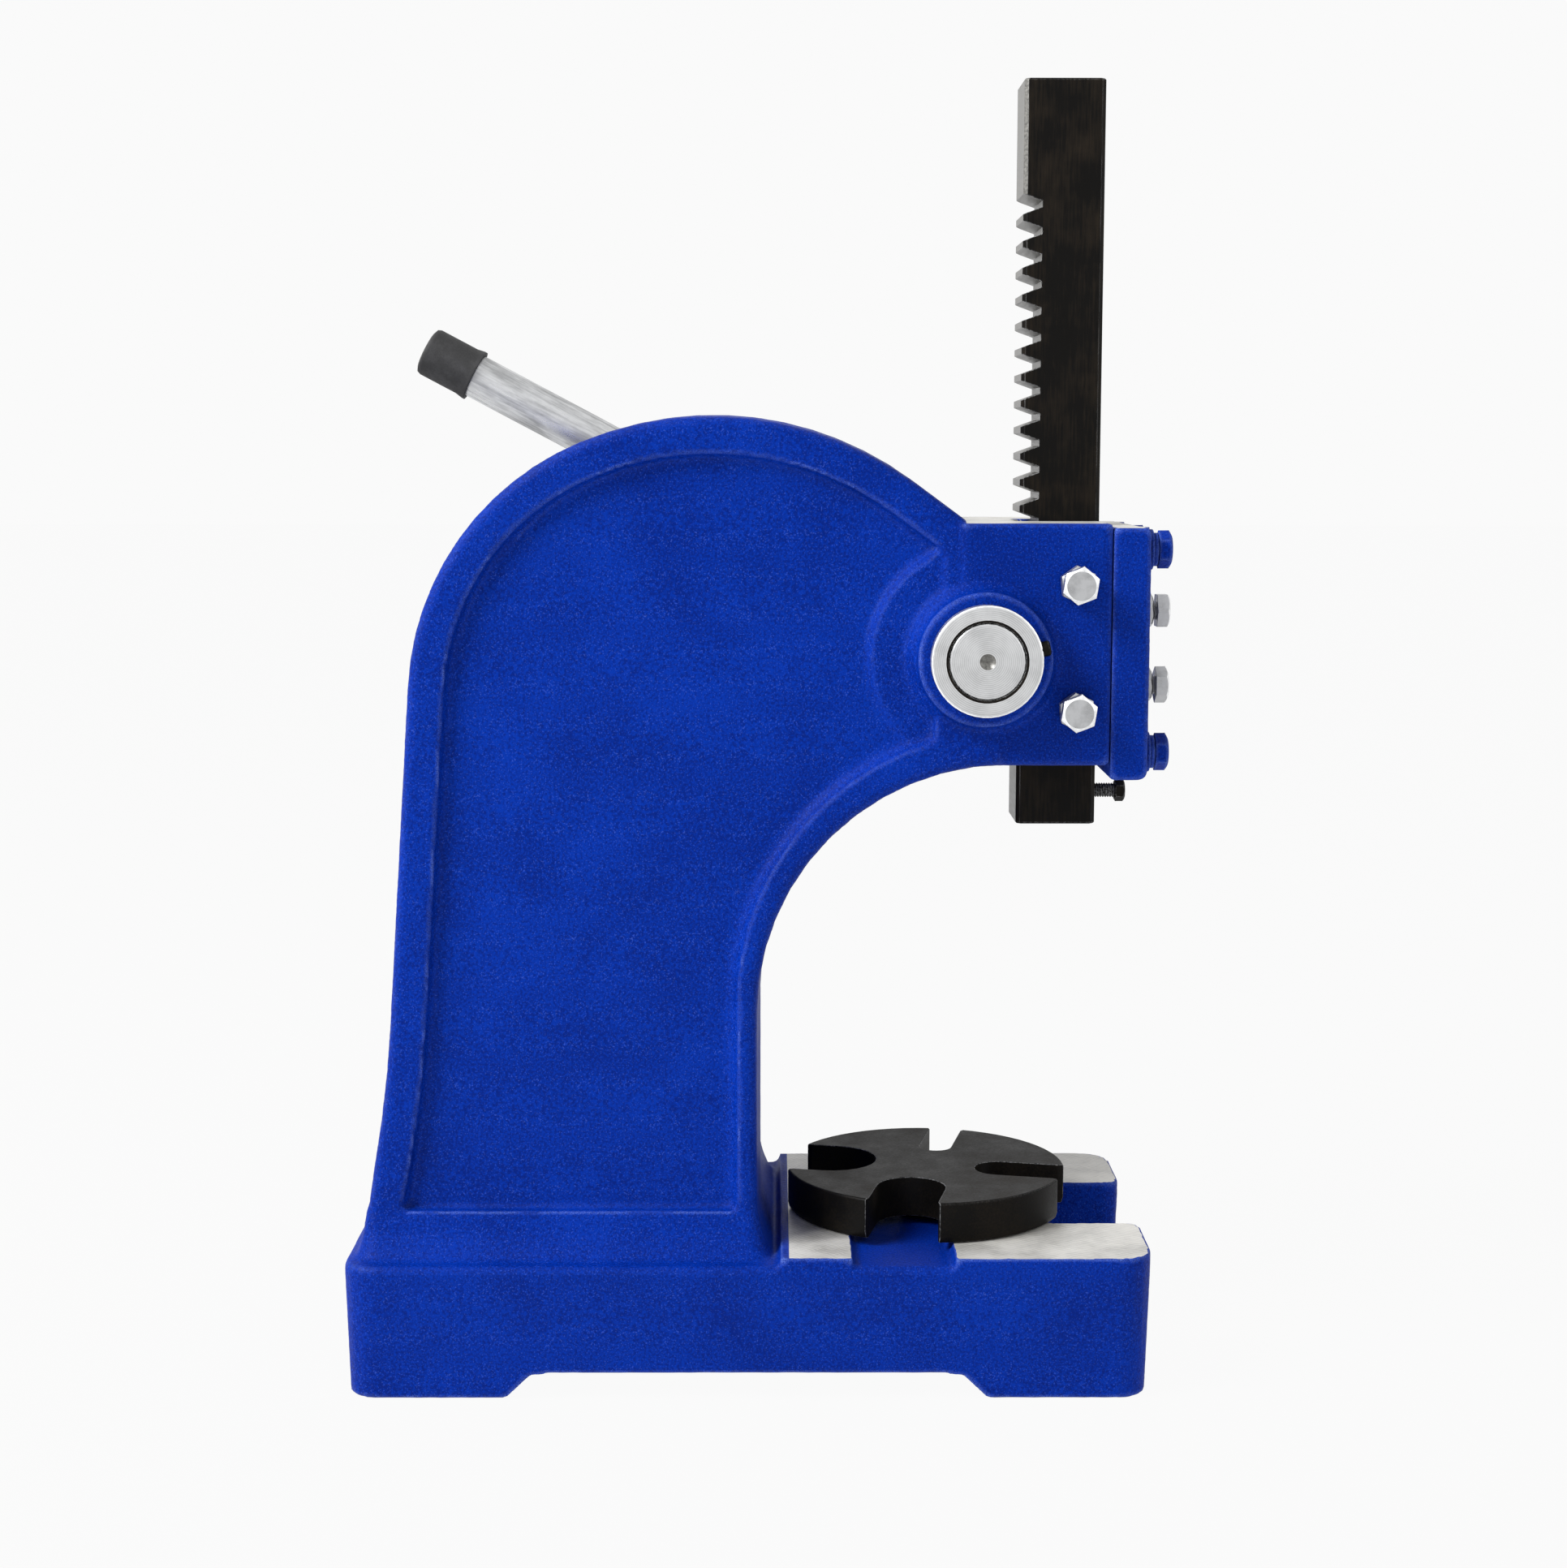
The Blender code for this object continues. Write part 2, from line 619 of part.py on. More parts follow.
def make_boss(side, radius, root_radius):
    """A bearing boss with a filleted root."""
    inner = HEAD_HALF_WIDTH - PAD_SLOPE
    outer = BOSS_HALF_WIDTH
    rise = root_radius - radius
    profile = [(0, inner), (root_radius, inner)]
    for width_share, height_share in BOSS_ROOT_SHARES:
        profile.append((radius + rise * width_share, HEAD_HALF_WIDTH + rise * height_share))
    profile += [(radius, outer - BOSS_EDGE), (radius - BOSS_EDGE, outer), (0, outer)]
    placed = [(r, side * level) for r, level in profile]
    return turned("boss", placed, "Y", (PINION_X, 0, PINION_Z), FINE_SIDES)


def cut_ram_channel(frame):
    """The square channel that guides the ram, open at the front."""
    half = RAM_SIDE / 2 + CHANNEL_CLEARANCE
    low = (RAM_BACK_X - CHANNEL_CLEARANCE, -half, HEAD_BOTTOM - OVERRUN * 2)
    high = (HEAD_SEAM_X + OVERRUN, half, HEAD_TOP + OVERRUN)
    cut(frame, block("ram_channel", low, high))


def cut_pinion_bore(frame):
    """The stepped bore: small on the collar's side, wide from the teeth to the lever's side."""
    step = -PINION_FACE_HALF - SEAT_GAP * 2
    end = BOSS_HALF_WIDTH + OVERRUN
    small = JOURNAL_RADIUS + SEAT_GAP
    wide = FAR_JOURNAL_RADIUS + SEAT_GAP
    profile = ((0, -end), (small, -end), (small, step), (wide, step), (wide, end), (0, end))
    cut(frame, turned("pinion_bore", profile, "Y", (PINION_X, 0, PINION_Z), FINE_SIDES))


def cut_side_gib_pocket(frame):
    """The pocket for the side gib, open to the channel and to the front."""
    outer = RAM_SIDE / 2 + SEAT_GAP + SIDE_GIB_THICKNESS + SEAT_GAP
    low = (RAM_X - SIDE_GIB_BEHIND_AXIS - SEAT_GAP, -outer, GIB_BOTTOM - SEAT_GAP)
    high = (HEAD_SEAM_X + OVERRUN, -RAM_SIDE / 2 + OVERRUN / 2, GIB_TOP + SEAT_GAP)
    cut(frame, block("side_gib_pocket", low, high))


def cut_bolt_holes(frame):
    """Holes for the side adjusting bolts and the cover bolts."""
    hole = BOLT_RADIUS + SEAT_GAP
    outer = -HEAD_HALF_WIDTH - OVERRUN
    for height in SIDE_ADJUSTER_HEIGHTS:
        centre = (RAM_X + SIDE_ADJUSTER_AHEAD, 0, height)
        inner = -(RAM_SIDE + SIDE_GIB_THICKNESS) / 2
        cut(frame, rod("hole", hole, "Y", centre, outer, inner, SMALL_SIDES))
    bottom = HEAD_SEAM_X - COVER_BOLT_GRIP_IN_HEAD - OVERRUN / 2
    for height in COVER_BOLT_HEIGHTS:
        for side in (-1, 1):
            centre = (0, side * COVER_BOLT_Y, height)
            cut(frame, rod("hole", hole, "X", centre, bottom, HEAD_SEAM_X + OVERRUN, SMALL_SIDES))


def make_frame_casting():
    """The one-piece casting: base, plinth, column, head, pads and bosses."""
    frame = make_column()
    add(frame, make_plinth())
    add(frame, make_base())
    add(frame, make_rear_pad())
    add(frame, make_front_pads())
    add(frame, make_head())
    near = (-1, BOSS_RADIUS, BOSS_ROOT_RADIUS)
    far = (1, FAR_BOSS_RADIUS, FAR_BOSS_ROOT_RADIUS)
    for side, radius, root in (near, far):
        add(frame, make_hub_pad(side))
        add(frame, make_boss(side, radius, root))
    cut(frame, make_arch())
    cut_ram_channel(frame)
    cut_pinion_bore(frame)
    cut_side_gib_pocket(frame)
    cut_bolt_holes(frame)
    spigot = (RAM_X - PLATE_BEHIND_RAM, 0, 0)
    bottom = PAD_TOP - SPIGOT_LENGTH
    hole = SPIGOT_RADIUS + SEAT_GAP
    cut(frame, rod("spigot_hole", hole, "Z", spigot, bottom, PAD_TOP + OVERRUN, ROUND_SIDES))
    frame.name = "frame_casting"
    return finish(frame, blue_paint("frame_casting"))


# Cover plate


def make_cover_plate():
    """The head's front plate: rounded lower edge, bolt bosses, holes and the front gib's pocket."""
    low_centre = (COVER_FRONT_X - COVER_LOWER_ROUND, COVER_BOTTOM + COVER_LOWER_ROUND)
    outline = [(COVER_BACK_X, COVER_BOTTOM)]
    outline += arc(low_centre, COVER_LOWER_ROUND, -math.pi / 2, 0, CORNER_STEPS)
    outline += [(COVER_FRONT_X, COVER_TOP - COVER_UPPER_CHAMFER)]
    outline += [(COVER_FRONT_X - COVER_UPPER_CHAMFER, COVER_TOP), (COVER_BACK_X, COVER_TOP)]
    plate = prism("cover_plate", outline, "Y", -HEAD_HALF_WIDTH, HEAD_HALF_WIDTH)
    soften(plate, COVER_EDGE, 1, COVER_EDGE_ANGLE)
    for height in COVER_BOLT_HEIGHTS:
        for side in (-1, 1):
            centre = (0, side * COVER_BOLT_Y, height)
            top = COVER_FRONT_X + COVER_BOSS_HEIGHT
            sunk = COVER_FRONT_X - COVER_BOSS_HEIGHT
            profile = ((0, sunk), (COVER_BOSS_RADIUS, sunk), (COVER_BOSS_RADIUS, COVER_FRONT_X),
                       (COVER_BOSS_RADIUS - COVER_BOSS_HEIGHT / 2, top), (0, top))
            add(plate, turned("bolt_boss", profile, "X", centre, ROUND_SIDES))
            cut(plate, rod("hole", BOLT_RADIUS + SEAT_GAP, "X", centre, COVER_BACK_X - OVERRUN,
                           top + OVERRUN, SMALL_SIDES))
    for height in FRONT_ADJUSTER_HEIGHTS:
        cut(plate, rod("hole", BOLT_RADIUS + SEAT_GAP, "X", (0, 0, height), COVER_BACK_X - OVERRUN,
                       COVER_FRONT_X + OVERRUN, SMALL_SIDES))
    half = FRONT_GIB_WIDTH / 2 + SEAT_GAP
    pocket_x = RAM_FRONT_X + SEAT_GAP + FRONT_GIB_THICKNESS + SEAT_GAP
    cut(plate, block("front_gib_pocket", (COVER_BACK_X - OVERRUN, -half, GIB_BOTTOM - SEAT_GAP),
                     (pocket_x, half, GIB_TOP + SEAT_GAP)))
    return finish(plate, blue_paint("cover_plate"))


# Fasteners, each modelled with its axis along +X and its head's underside at the origin

def hex_block(name, across, start, end, chamfer_start, chamfer_end):
    """A hexagon bar with its corners chamfered by a cone at either end."""
    corner = across / math.sqrt(3)
    bar = prism(name, hexagon(across), "X", start, end)
    drop = corner - across / 2
    in_start = start + (drop / 2 if chamfer_start else 0.0)
    in_end = end - (drop / 2 if chamfer_end else 0.0)
    face = across / 2
    profile = [(0, start), (face if chamfer_start else corner, start), (corner, in_start)]
    profile += [(corner, in_end), (face if chamfer_end else corner, end), (0, end)]
    kept = [profile[0]]
    for point in profile[1:]:
        if point != kept[-1]:
            kept.append(point)
    trim(bar, turned("cone", kept, "X", (0, 0, 0), RING_SIDES))
    return bar


def make_bolt(name, radius, across, head_height, length, material):
    """A hexagon bolt: its head points along +X and its shank along -X."""
    bolt = hex_block(name, across, 0.0, head_height, False, True)
    chamfer = radius * BOLT_TIP_CHAMFER_SHARE
    profile = ((0, -length), (radius - chamfer, -length), (radius, -length + chamfer),
               (radius, head_height / 2), (0, head_height / 2))
    add(bolt, turned("shank", profile, "X", (0, 0, 0), SMALL_SIDES))
    return finish(bolt, material)


def make_standard_bolt(name, length, material):
    """A bolt of the size that holds the cover and presses the gibs."""
    return make_bolt(name, BOLT_RADIUS, BOLT_HEAD_ACROSS, BOLT_HEAD_HEIGHT, length, material)


def make_nut(name, material):
    """A hexagon nut on the X axis, from the origin towards +X."""
    nut = hex_block(name, BOLT_HEAD_ACROSS, 0.0, NUT_HEIGHT, True, True)
    bore = BOLT_RADIUS + SEAT_GAP
    cut(nut, rod("bore", bore, "X", (0, 0, 0), -OVERRUN, NUT_HEIGHT + OVERRUN, SMALL_SIDES))
    return finish(nut, material)


def make_washer(name, material):
    """A flat washer on the X axis, from the origin towards +X."""
    bore = BOLT_RADIUS + SEAT_GAP
    profile = ((bore, 0), (WASHER_RADIUS, 0), (WASHER_RADIUS, WASHER_THICKNESS), (bore, WASHER_THICKNESS))
    return finish(turned(name, profile, "X", (0, 0, 0), RING_SIDES), material)


def make_spring_washer(name, material):
    """A split spring washer on the X axis, from the origin towards +X."""
    bore = BOLT_RADIUS + SEAT_GAP
    top = SPRING_WASHER_THICKNESS
    profile = ((bore, 0), (SPRING_WASHER_RADIUS, 0), (SPRING_WASHER_RADIUS, top), (bore, top))
    washer = turned(name, profile, "X", (0, 0, 0), RING_SIDES)
    slant = SPRING_WASHER_SLIT
    far = SPRING_WASHER_RADIUS * 2
    slit = [(-slant, 0.0), (0.0, 0.0), (slant, far), (0.0, far)]
    cut(washer, prism("slit", slit, "X", -OVERRUN, top + OVERRUN))
    return finish(washer, material)


TO_FRONT = Matrix.Identity(4)
TO_NEAR_SIDE = Matrix.Rotation(-math.pi / 2, 4, "Z")


def place(piece, point, turn=TO_FRONT):
    piece.matrix_world = Matrix.Translation(Vector(point)) @ turn
    return piece


def make_cover_fasteners():
    """Bolt, spring washer and flat washer at each corner of the cover plate."""
    boss_top = COVER_FRONT_X + COVER_BOSS_HEIGHT
    washer_x = boss_top + SEAT_GAP
    spring_x = washer_x + WASHER_THICKNESS + SEAT_GAP
    head_x = spring_x + SPRING_WASHER_THICKNESS + SEAT_GAP
    length = head_x - HEAD_SEAM_X + COVER_BOLT_GRIP_IN_HEAD
    number = 0
    for height in reversed(COVER_BOLT_HEIGHTS):
        for side in (-1, 1):
            number += 1
            y = side * COVER_BOLT_Y
            bolt = f"cover_bolt_{number}"
            place(make_standard_bolt(bolt, length, blue_paint(bolt)), (head_x, y, height))
            washer = f"cover_washer_{number}"
            place(make_washer(washer, blue_paint(washer)), (washer_x, y, height))
            spring = f"cover_spring_washer_{number}"
            place(make_spring_washer(spring, blue_paint(spring)), (spring_x, y, height))


def make_front_adjusters():
    """The two bolts that press the front gib, each with a washer and a lock nut."""
    tip_x = RAM_FRONT_X + SEAT_GAP + FRONT_GIB_THICKNESS + SEAT_GAP
    washer_x = COVER_FRONT_X + SEAT_GAP
    nut_x = washer_x + WASHER_THICKNESS + SEAT_GAP
    head_x = nut_x + NUT_HEIGHT + FRONT_ADJUSTER_NECK
    for number, height in enumerate(reversed(FRONT_ADJUSTER_HEIGHTS), 1):
        bolt = f"front_adjuster_{number}"
        place(make_standard_bolt(bolt, head_x - tip_x, bright_zinc(bolt)), (head_x, 0, height))
        nut = f"front_lock_nut_{number}"
        place(make_nut(nut, bright_zinc(nut)), (nut_x, 0, height))
        washer = f"front_washer_{number}"
        place(make_washer(washer, bright_zinc(washer)), (washer_x, 0, height))


def make_side_adjusters():
    """The two bolts that press the side gib, each with a lock nut."""
    tip = RAM_SIDE / 2 + SEAT_GAP + SIDE_GIB_THICKNESS + SEAT_GAP
    nut_y = HEAD_HALF_WIDTH + SEAT_GAP
    head_y = nut_y + NUT_HEIGHT + SIDE_ADJUSTER_NECK
    x = RAM_X + SIDE_ADJUSTER_AHEAD
    for number, height in enumerate(reversed(SIDE_ADJUSTER_HEIGHTS), 1):
        bolt = f"side_adjuster_{number}"
        place(make_standard_bolt(bolt, head_y - tip, bright_zinc(bolt)), (x, -head_y, height), TO_NEAR_SIDE)
        nut = f"side_lock_nut_{number}"
        place(make_nut(nut, bright_zinc(nut)), (x, -nut_y, height), TO_NEAR_SIDE)


# Gibs

def make_gib(name, low, high):
    gib = block(name, low, high)
    soften(gib, GIB_END_CHAMFER, 1)
    return finish(gib, turned_steel(name))


def make_front_gib():
    half = FRONT_GIB_WIDTH / 2
    start = RAM_FRONT_X + SEAT_GAP
    return make_gib("front_gib", (start, -half, GIB_BOTTOM), (start + FRONT_GIB_THICKNESS, half, GIB_TOP))


def make_side_gib():
    inner = -RAM_SIDE / 2 - SEAT_GAP
    end = HEAD_SEAM_X - SEAT_GAP
    return make_gib("side_gib", (RAM_X - SIDE_GIB_BEHIND_AXIS, inner - SIDE_GIB_THICKNESS, GIB_BOTTOM),
                    (end, inner, GIB_TOP))


# Ram

def rack_cutter():
    """One comb-shaped cutter for all the gaps of the rack."""
    depth = MODULE + DEDENDUM_SHARE * MODULE
    slope = math.tan(PRESSURE_ANGLE)
    mouth = PITCH / 4 + FLANK_GAP / 2 + MODULE * slope
    floor = PITCH / 4 + FLANK_GAP / 2 - DEDENDUM_SHARE * MODULE * slope
    outside = RAM_BACK_X - OVERRUN
    shelf = RAM_BACK_X - SEAT_GAP
    outline = []
    for index in range(-NOTCHES_BELOW_PINION, NOTCHES_ABOVE_PINION + 1):
        middle = PINION_Z + PITCH * index
        outline += [(shelf, middle - mouth - SEAT_GAP * slope), (RAM_BACK_X + depth, middle - floor)]
        outline += [(RAM_BACK_X + depth, middle + floor), (shelf, middle + mouth + SEAT_GAP * slope)]
    outline += [(outside, outline[-1][1]), (outside, outline[0][1])]
    reach = RAM_SIDE / 2 + OVERRUN
    return prism("rack_gaps", outline, "Y", -reach, reach)


def make_ram():
    """The square ram with rack teeth on its rear face and a tool socket in its lower end."""
    half = RAM_SIDE / 2
    flat = half - RAM_CHAMFER
    corners = [(flat, -half), (half, -flat), (half, flat), (flat, half),
               (-flat, half), (-half, flat), (-half, -flat), (-flat, -half)]
    rows = []
    for share, height in ((1.0, RAM_BOTTOM), (0.0, RAM_BOTTOM + RAM_END_CHAMFER),
                          (0.0, RAM_BOTTOM + RAM_LENGTH - RAM_END_CHAMFER), (1.0, RAM_BOTTOM + RAM_LENGTH)):
        scale = 1 - share * RAM_END_CHAMFER / half
        rows.append([(RAM_X + x * scale, y * scale, height) for x, y in corners])
    ram = loft("ram", rows)
    cut(ram, rack_cutter())
    top = RAM_BOTTOM + SOCKET_DEPTH
    socket = ((0, RAM_BOTTOM - OVERRUN), (SOCKET_RADIUS, RAM_BOTTOM - OVERRUN), (SOCKET_RADIUS, top),
              (0, top + SOCKET_RADIUS / 2))
    cut(ram, turned("socket", socket, "Z", (RAM_X, 0, 0), ROUND_SIDES))
    screw = (0, 0, RAM_BOTTOM + CLAMP_SCREW_RISE)
    hole = CLAMP_SCREW_RADIUS + SEAT_GAP
    cut(ram, rod("screw_hole", hole, "X", screw, RAM_X, RAM_FRONT_X + OVERRUN, SMALL_SIDES))
    set_origin(ram, (RAM_X, 0, PINION_Z))
    return finish(ram, black_oxide("ram"))


def make_clamp_screw():
    """The hexagon screw in the ram's front face that holds a tool in the socket."""
    tip = RAM_X + SOCKET_RADIUS + CLAMP_SCREW_TIP_BACK
    head = RAM_FRONT_X + CLAMP_SCREW_STANDOFF
    screw = make_bolt("tool_clamp_screw", CLAMP_SCREW_RADIUS, CLAMP_SCREW_HEAD_ACROSS,
                      CLAMP_SCREW_HEAD_HEIGHT, head - tip, black_oxide("tool_clamp_screw"))
    return place(screw, (head, 0, RAM_BOTTOM + CLAMP_SCREW_RISE))


# Pinion shaft, collar and lever

def involute(angle):
    return math.tan(angle) - angle


def tooth_half_angle(radius):
    """Half of a pinion tooth's angle at a radius, as the rack's straight teeth generate it."""
    tip_line = PITCH_RADIUS - MODULE
    corner = PITCH / 4 + MODULE * math.tan(PRESSURE_ANGLE)
    below = math.sqrt(max(radius ** 2 - tip_line ** 2, 0.0))
    half = corner / PITCH_RADIUS - math.atan2(below, tip_line) + below / PITCH_RADIUS
    half = min(half, corner / PITCH_RADIUS)
    base = PITCH_RADIUS * math.cos(PRESSURE_ANGLE)
    if radius > base:
        flank = math.pi / (2 * PINION_TEETH) + involute(PRESSURE_ANGLE) - involute(math.acos(base / radius))
        half = min(half, flank)
    return half - FLANK_GAP / PITCH_RADIUS


def pinion_outline():
    """The pinion's toothed outline; at rest one tooth points straight at the rack."""
    step = (TIP_RADIUS - ROOT_RADIUS) / TOOTH_STEPS
    radii = [ROOT_RADIUS + step * index for index in range(TOOTH_STEPS + 1)]
    points = []
    for tooth in range(PINION_TEETH):
        middle = math.tau * tooth / PINION_TEETH
        for radius in radii:
            points.append((radius, middle - tooth_half_angle(radius)))
        for radius in reversed(radii):
            points.append((radius, middle + tooth_half_angle(radius)))
    return [(PINION_X + r * math.cos(a), PINION_Z + r * math.sin(a)) for r, a in points]


def aim_lever(piece):
    """Turns a piece modelled along +X onto the lever's line through the hub."""
    turn = Matrix.Rotation(-(math.pi - LEVER_RISE), 4, "Y")
    return place(piece, (PINION_X, LEVER_PLANE, PINION_Z), turn)


def make_pinion_shaft():
    """Journals, teeth and lever hub in one piece, pushed in from the lever's side."""
    centre = (PINION_X, 0, PINION_Z)
    shaft = prism("pinion_shaft", pinion_outline(), "Y", -PINION_FACE_HALF, PINION_FACE_HALF)
    near_end = -(BOSS_HALF_WIDTH + SHAFT_END_OUT)
    mark = CENTRE_MARK_RADIUS
    mark_end = near_end + CENTRE_MARK_DEPTH
    profile = ((0, mark_end), (mark / 2, near_end + CENTRE_MARK_DEPTH / 2), (mark, near_end),
               (JOURNAL_RADIUS - SHAFT_EDGE, near_end), (JOURNAL_RADIUS, near_end + SHAFT_EDGE),
               (JOURNAL_RADIUS, OVERRUN - PINION_FACE_HALF), (0, OVERRUN - PINION_FACE_HALF))
    add(shaft, turned("near_journal", profile, "Y", centre, ROUND_SIDES))
    journal_start = PINION_FACE_HALF - SEAT_GAP
    journal_end = BOSS_HALF_WIDTH + HUB_COLLAR_STEP
    profile = ((0, journal_start), (FAR_JOURNAL_RADIUS, journal_start), (FAR_JOURNAL_RADIUS, journal_end),
               (HUB_RADIUS, journal_end + HUB_EDGE), (HUB_RADIUS, HUB_END - HUB_EDGE),
               (HUB_RADIUS - HUB_EDGE, HUB_END), (0, HUB_END))
    add(shaft, turned("far_journal", profile, "Y", centre, FINE_SIDES))
    reach = HUB_RADIUS + OVERRUN
    hole = LEVER_RADIUS + SEAT_GAP
    cut(shaft, aim_lever(rod("lever_hole", hole, "X", (0, 0, 0), -reach, reach, ROUND_SIDES)))
    set_origin(shaft, centre)
    return finish(shaft, turned_steel("pinion_shaft"))


def make_shaft_collar():
    """The ring that keeps the shaft in the head, with a radial hole for its set screw."""
    bore = JOURNAL_RADIUS + SEAT_GAP
    back = -(BOSS_HALF_WIDTH + SEAT_GAP)
    front = back - COLLAR_THICKNESS
    chamfer = COLLAR_CHAMFER
    profile = ((bore, back), (COLLAR_RADIUS, back), (COLLAR_RADIUS, front + chamfer / 2),
               (COLLAR_RADIUS - chamfer, front), (bore + COLLAR_BORE_CHAMFER, front),
               (bore, front + COLLAR_BORE_CHAMFER))
    collar = turned("shaft_collar", profile, "Y", (0, 0, 0), FINE_SIDES)
    hole = SET_SCREW_RADIUS + SEAT_GAP
    middle = (0, back - COLLAR_THICKNESS / 2, 0)
    cut(collar, rod("hole", hole, "X", middle, JOURNAL_RADIUS / 2, COLLAR_RADIUS + OVERRUN, SMALL_SIDES))
    place(collar, (PINION_X, 0, PINION_Z), Matrix.Rotation(-SET_SCREW_ANGLE, 4, "Y"))
    return finish(collar, turned_steel("shaft_collar"))


def make_collar_set_screw():
    """The grub screw in the collar, which stands a little proud of it."""
    level = -(BOSS_HALF_WIDTH + SEAT_GAP) - COLLAR_THICKNESS / 2
    start = JOURNAL_RADIUS + SEAT_GAP
    end = COLLAR_RADIUS + SET_SCREW_OUT
    chamfer = SET_SCREW_RADIUS * BOLT_TIP_CHAMFER_SHARE
    socket = SET_SCREW_RADIUS / 2
    profile = ((0, start), (SET_SCREW_RADIUS - chamfer, start), (SET_SCREW_RADIUS, start + chamfer),
               (SET_SCREW_RADIUS, end - chamfer), (SET_SCREW_RADIUS - chamfer, end), (socket, end),
               (socket, end - SET_SCREW_RADIUS), (0, end - SET_SCREW_RADIUS))
    screw = turned("collar_set_screw", profile, "X", (0, level, 0), SMALL_SIDES)
    place(screw, (PINION_X, 0, PINION_Z), Matrix.Rotation(-SET_SCREW_ANGLE, 4, "Y"))
    return finish(screw, black_oxide("collar_set_screw"))


def make_lever_rod():
    """The lever's bar, which slides through the hub."""
    start = -(LEVER_DOWN - CAP_END_THICKNESS - SEAT_GAP)
    end = LEVER_UP - CAP_END_THICKNESS - SEAT_GAP
    edge = LEVER_END_CHAMFER
    profile = ((0, start), (LEVER_RADIUS - edge, start), (LEVER_RADIUS, start + edge),
               (LEVER_RADIUS, end - edge), (LEVER_RADIUS - edge, end), (0, end))
    bar = turned("lever_rod", profile, "X", (0, 0, 0), ROUND_SIDES)
    return finish(aim_lever(bar), bright_zinc("lever_rod"))


def make_lever_cap(name, end, outward):
    """A rubber cup pushed over an end of the lever, with a slightly flared rim."""
    bore = LEVER_RADIUS + SEAT_GAP
    rim = end - outward * CAP_LENGTH
    floor = end - outward * CAP_END_THICKNESS
    shoulder = end - outward * CAP_END_ROUND
    profile = ((0, end), (CAP_RADIUS - CAP_END_ROUND, end),
               (CAP_RADIUS - CAP_END_ROUND / 4, end - outward * CAP_END_ROUND / 3), (CAP_RADIUS, shoulder),
               (CAP_RADIUS, rim + outward * CAP_RIM_LENGTH * 2),
               (CAP_RIM_RADIUS, rim + outward * CAP_RIM_LENGTH / 2), (CAP_RIM_RADIUS, rim),
               (bore, rim), (bore, floor), (0, floor))
    cap = turned(name, profile, "X", (0, 0, 0), ROUND_SIDES)
    return finish(aim_lever(cap), black_rubber(name))


# Arbor plate

def slot_outline(width):
    """A slot along +X: round inside, straight walls, and a slightly flared mouth."""
    half = width / 2
    centre = SLOT_TIP_REACH + half
    mouth = math.sqrt(PLATE_RADIUS ** 2 - half ** 2)
    end = PLATE_RADIUS + OVERRUN
    wide = half + SLOT_MOUTH_FLARE
    narrow_end = mouth - SLOT_MOUTH_FLARE * 2
    points = arc((centre, 0), half, math.pi / 2, 3 * math.pi / 2, ARC_STEPS)
    points += [(narrow_end, -half), (mouth, -wide), (end, -wide)]
    points += [(end, wide), (mouth, wide), (narrow_end, half)]
    return points


def make_arbor_plate():
    """The round plate with four slots of different widths and a spigot under its middle."""
    foot = PAD_TOP + SEAT_GAP
    top = foot + PLATE_THICKNESS
    tip = foot - SPIGOT_LENGTH + SEAT_GAP
    profile = ((0, tip), (SPIGOT_RADIUS, tip), (SPIGOT_RADIUS, foot),
               (PLATE_RADIUS - PLATE_FOOT_INSET, foot), (PLATE_RADIUS, foot + PLATE_FOOT_CHAMFER),
               (PLATE_RADIUS, top - PLATE_TOP_CHAMFER),
               (PLATE_RADIUS - PLATE_TOP_CHAMFER, top), (0, top))
    plate = turned("arbor_plate", profile, "Z", (0, 0, 0), PLATE_SIDES)
    for index, width in enumerate(SLOT_WIDTHS):
        slot = prism("slot", slot_outline(width), "Z", foot - OVERRUN, top + OVERRUN)
        slot.matrix_world = Matrix.Rotation(math.tau / len(SLOT_WIDTHS) * index, 4, "Z")
        cut(plate, slot)
    place(plate, (RAM_X - PLATE_BEHIND_RAM, 0, 0), Matrix.Rotation(PLATE_TURN, 4, "Z"))
    return finish(plate, black_oxide("arbor_plate"))


def clear_scene():
    for piece in list(bpy.data.objects):
        bpy.data.objects.remove(piece)


def main():
    clear_scene()
    make_frame_casting()
    make_cover_plate()
    make_cover_fasteners()
    make_front_adjusters()
    make_side_adjusters()
    make_front_gib()
    make_side_gib()
    make_ram()
    make_clamp_screw()
    make_pinion_shaft()
    make_shaft_collar()
    make_collar_set_screw()
    make_lever_rod()
    make_lever_cap("lever_cap_upper", LEVER_UP, 1)
    make_lever_cap("lever_cap_lower", -LEVER_DOWN, -1)
    make_arbor_plate()


main()
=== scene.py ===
"""Arbor press, dressed for its picture.

The cast frame, ram, shaft, lever, cover, bolts and arbor plate each get their finished shape and
surface here. Lengths are in metres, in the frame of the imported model.
"""
import json
import math

import bpy
from mathutils import Matrix, Vector

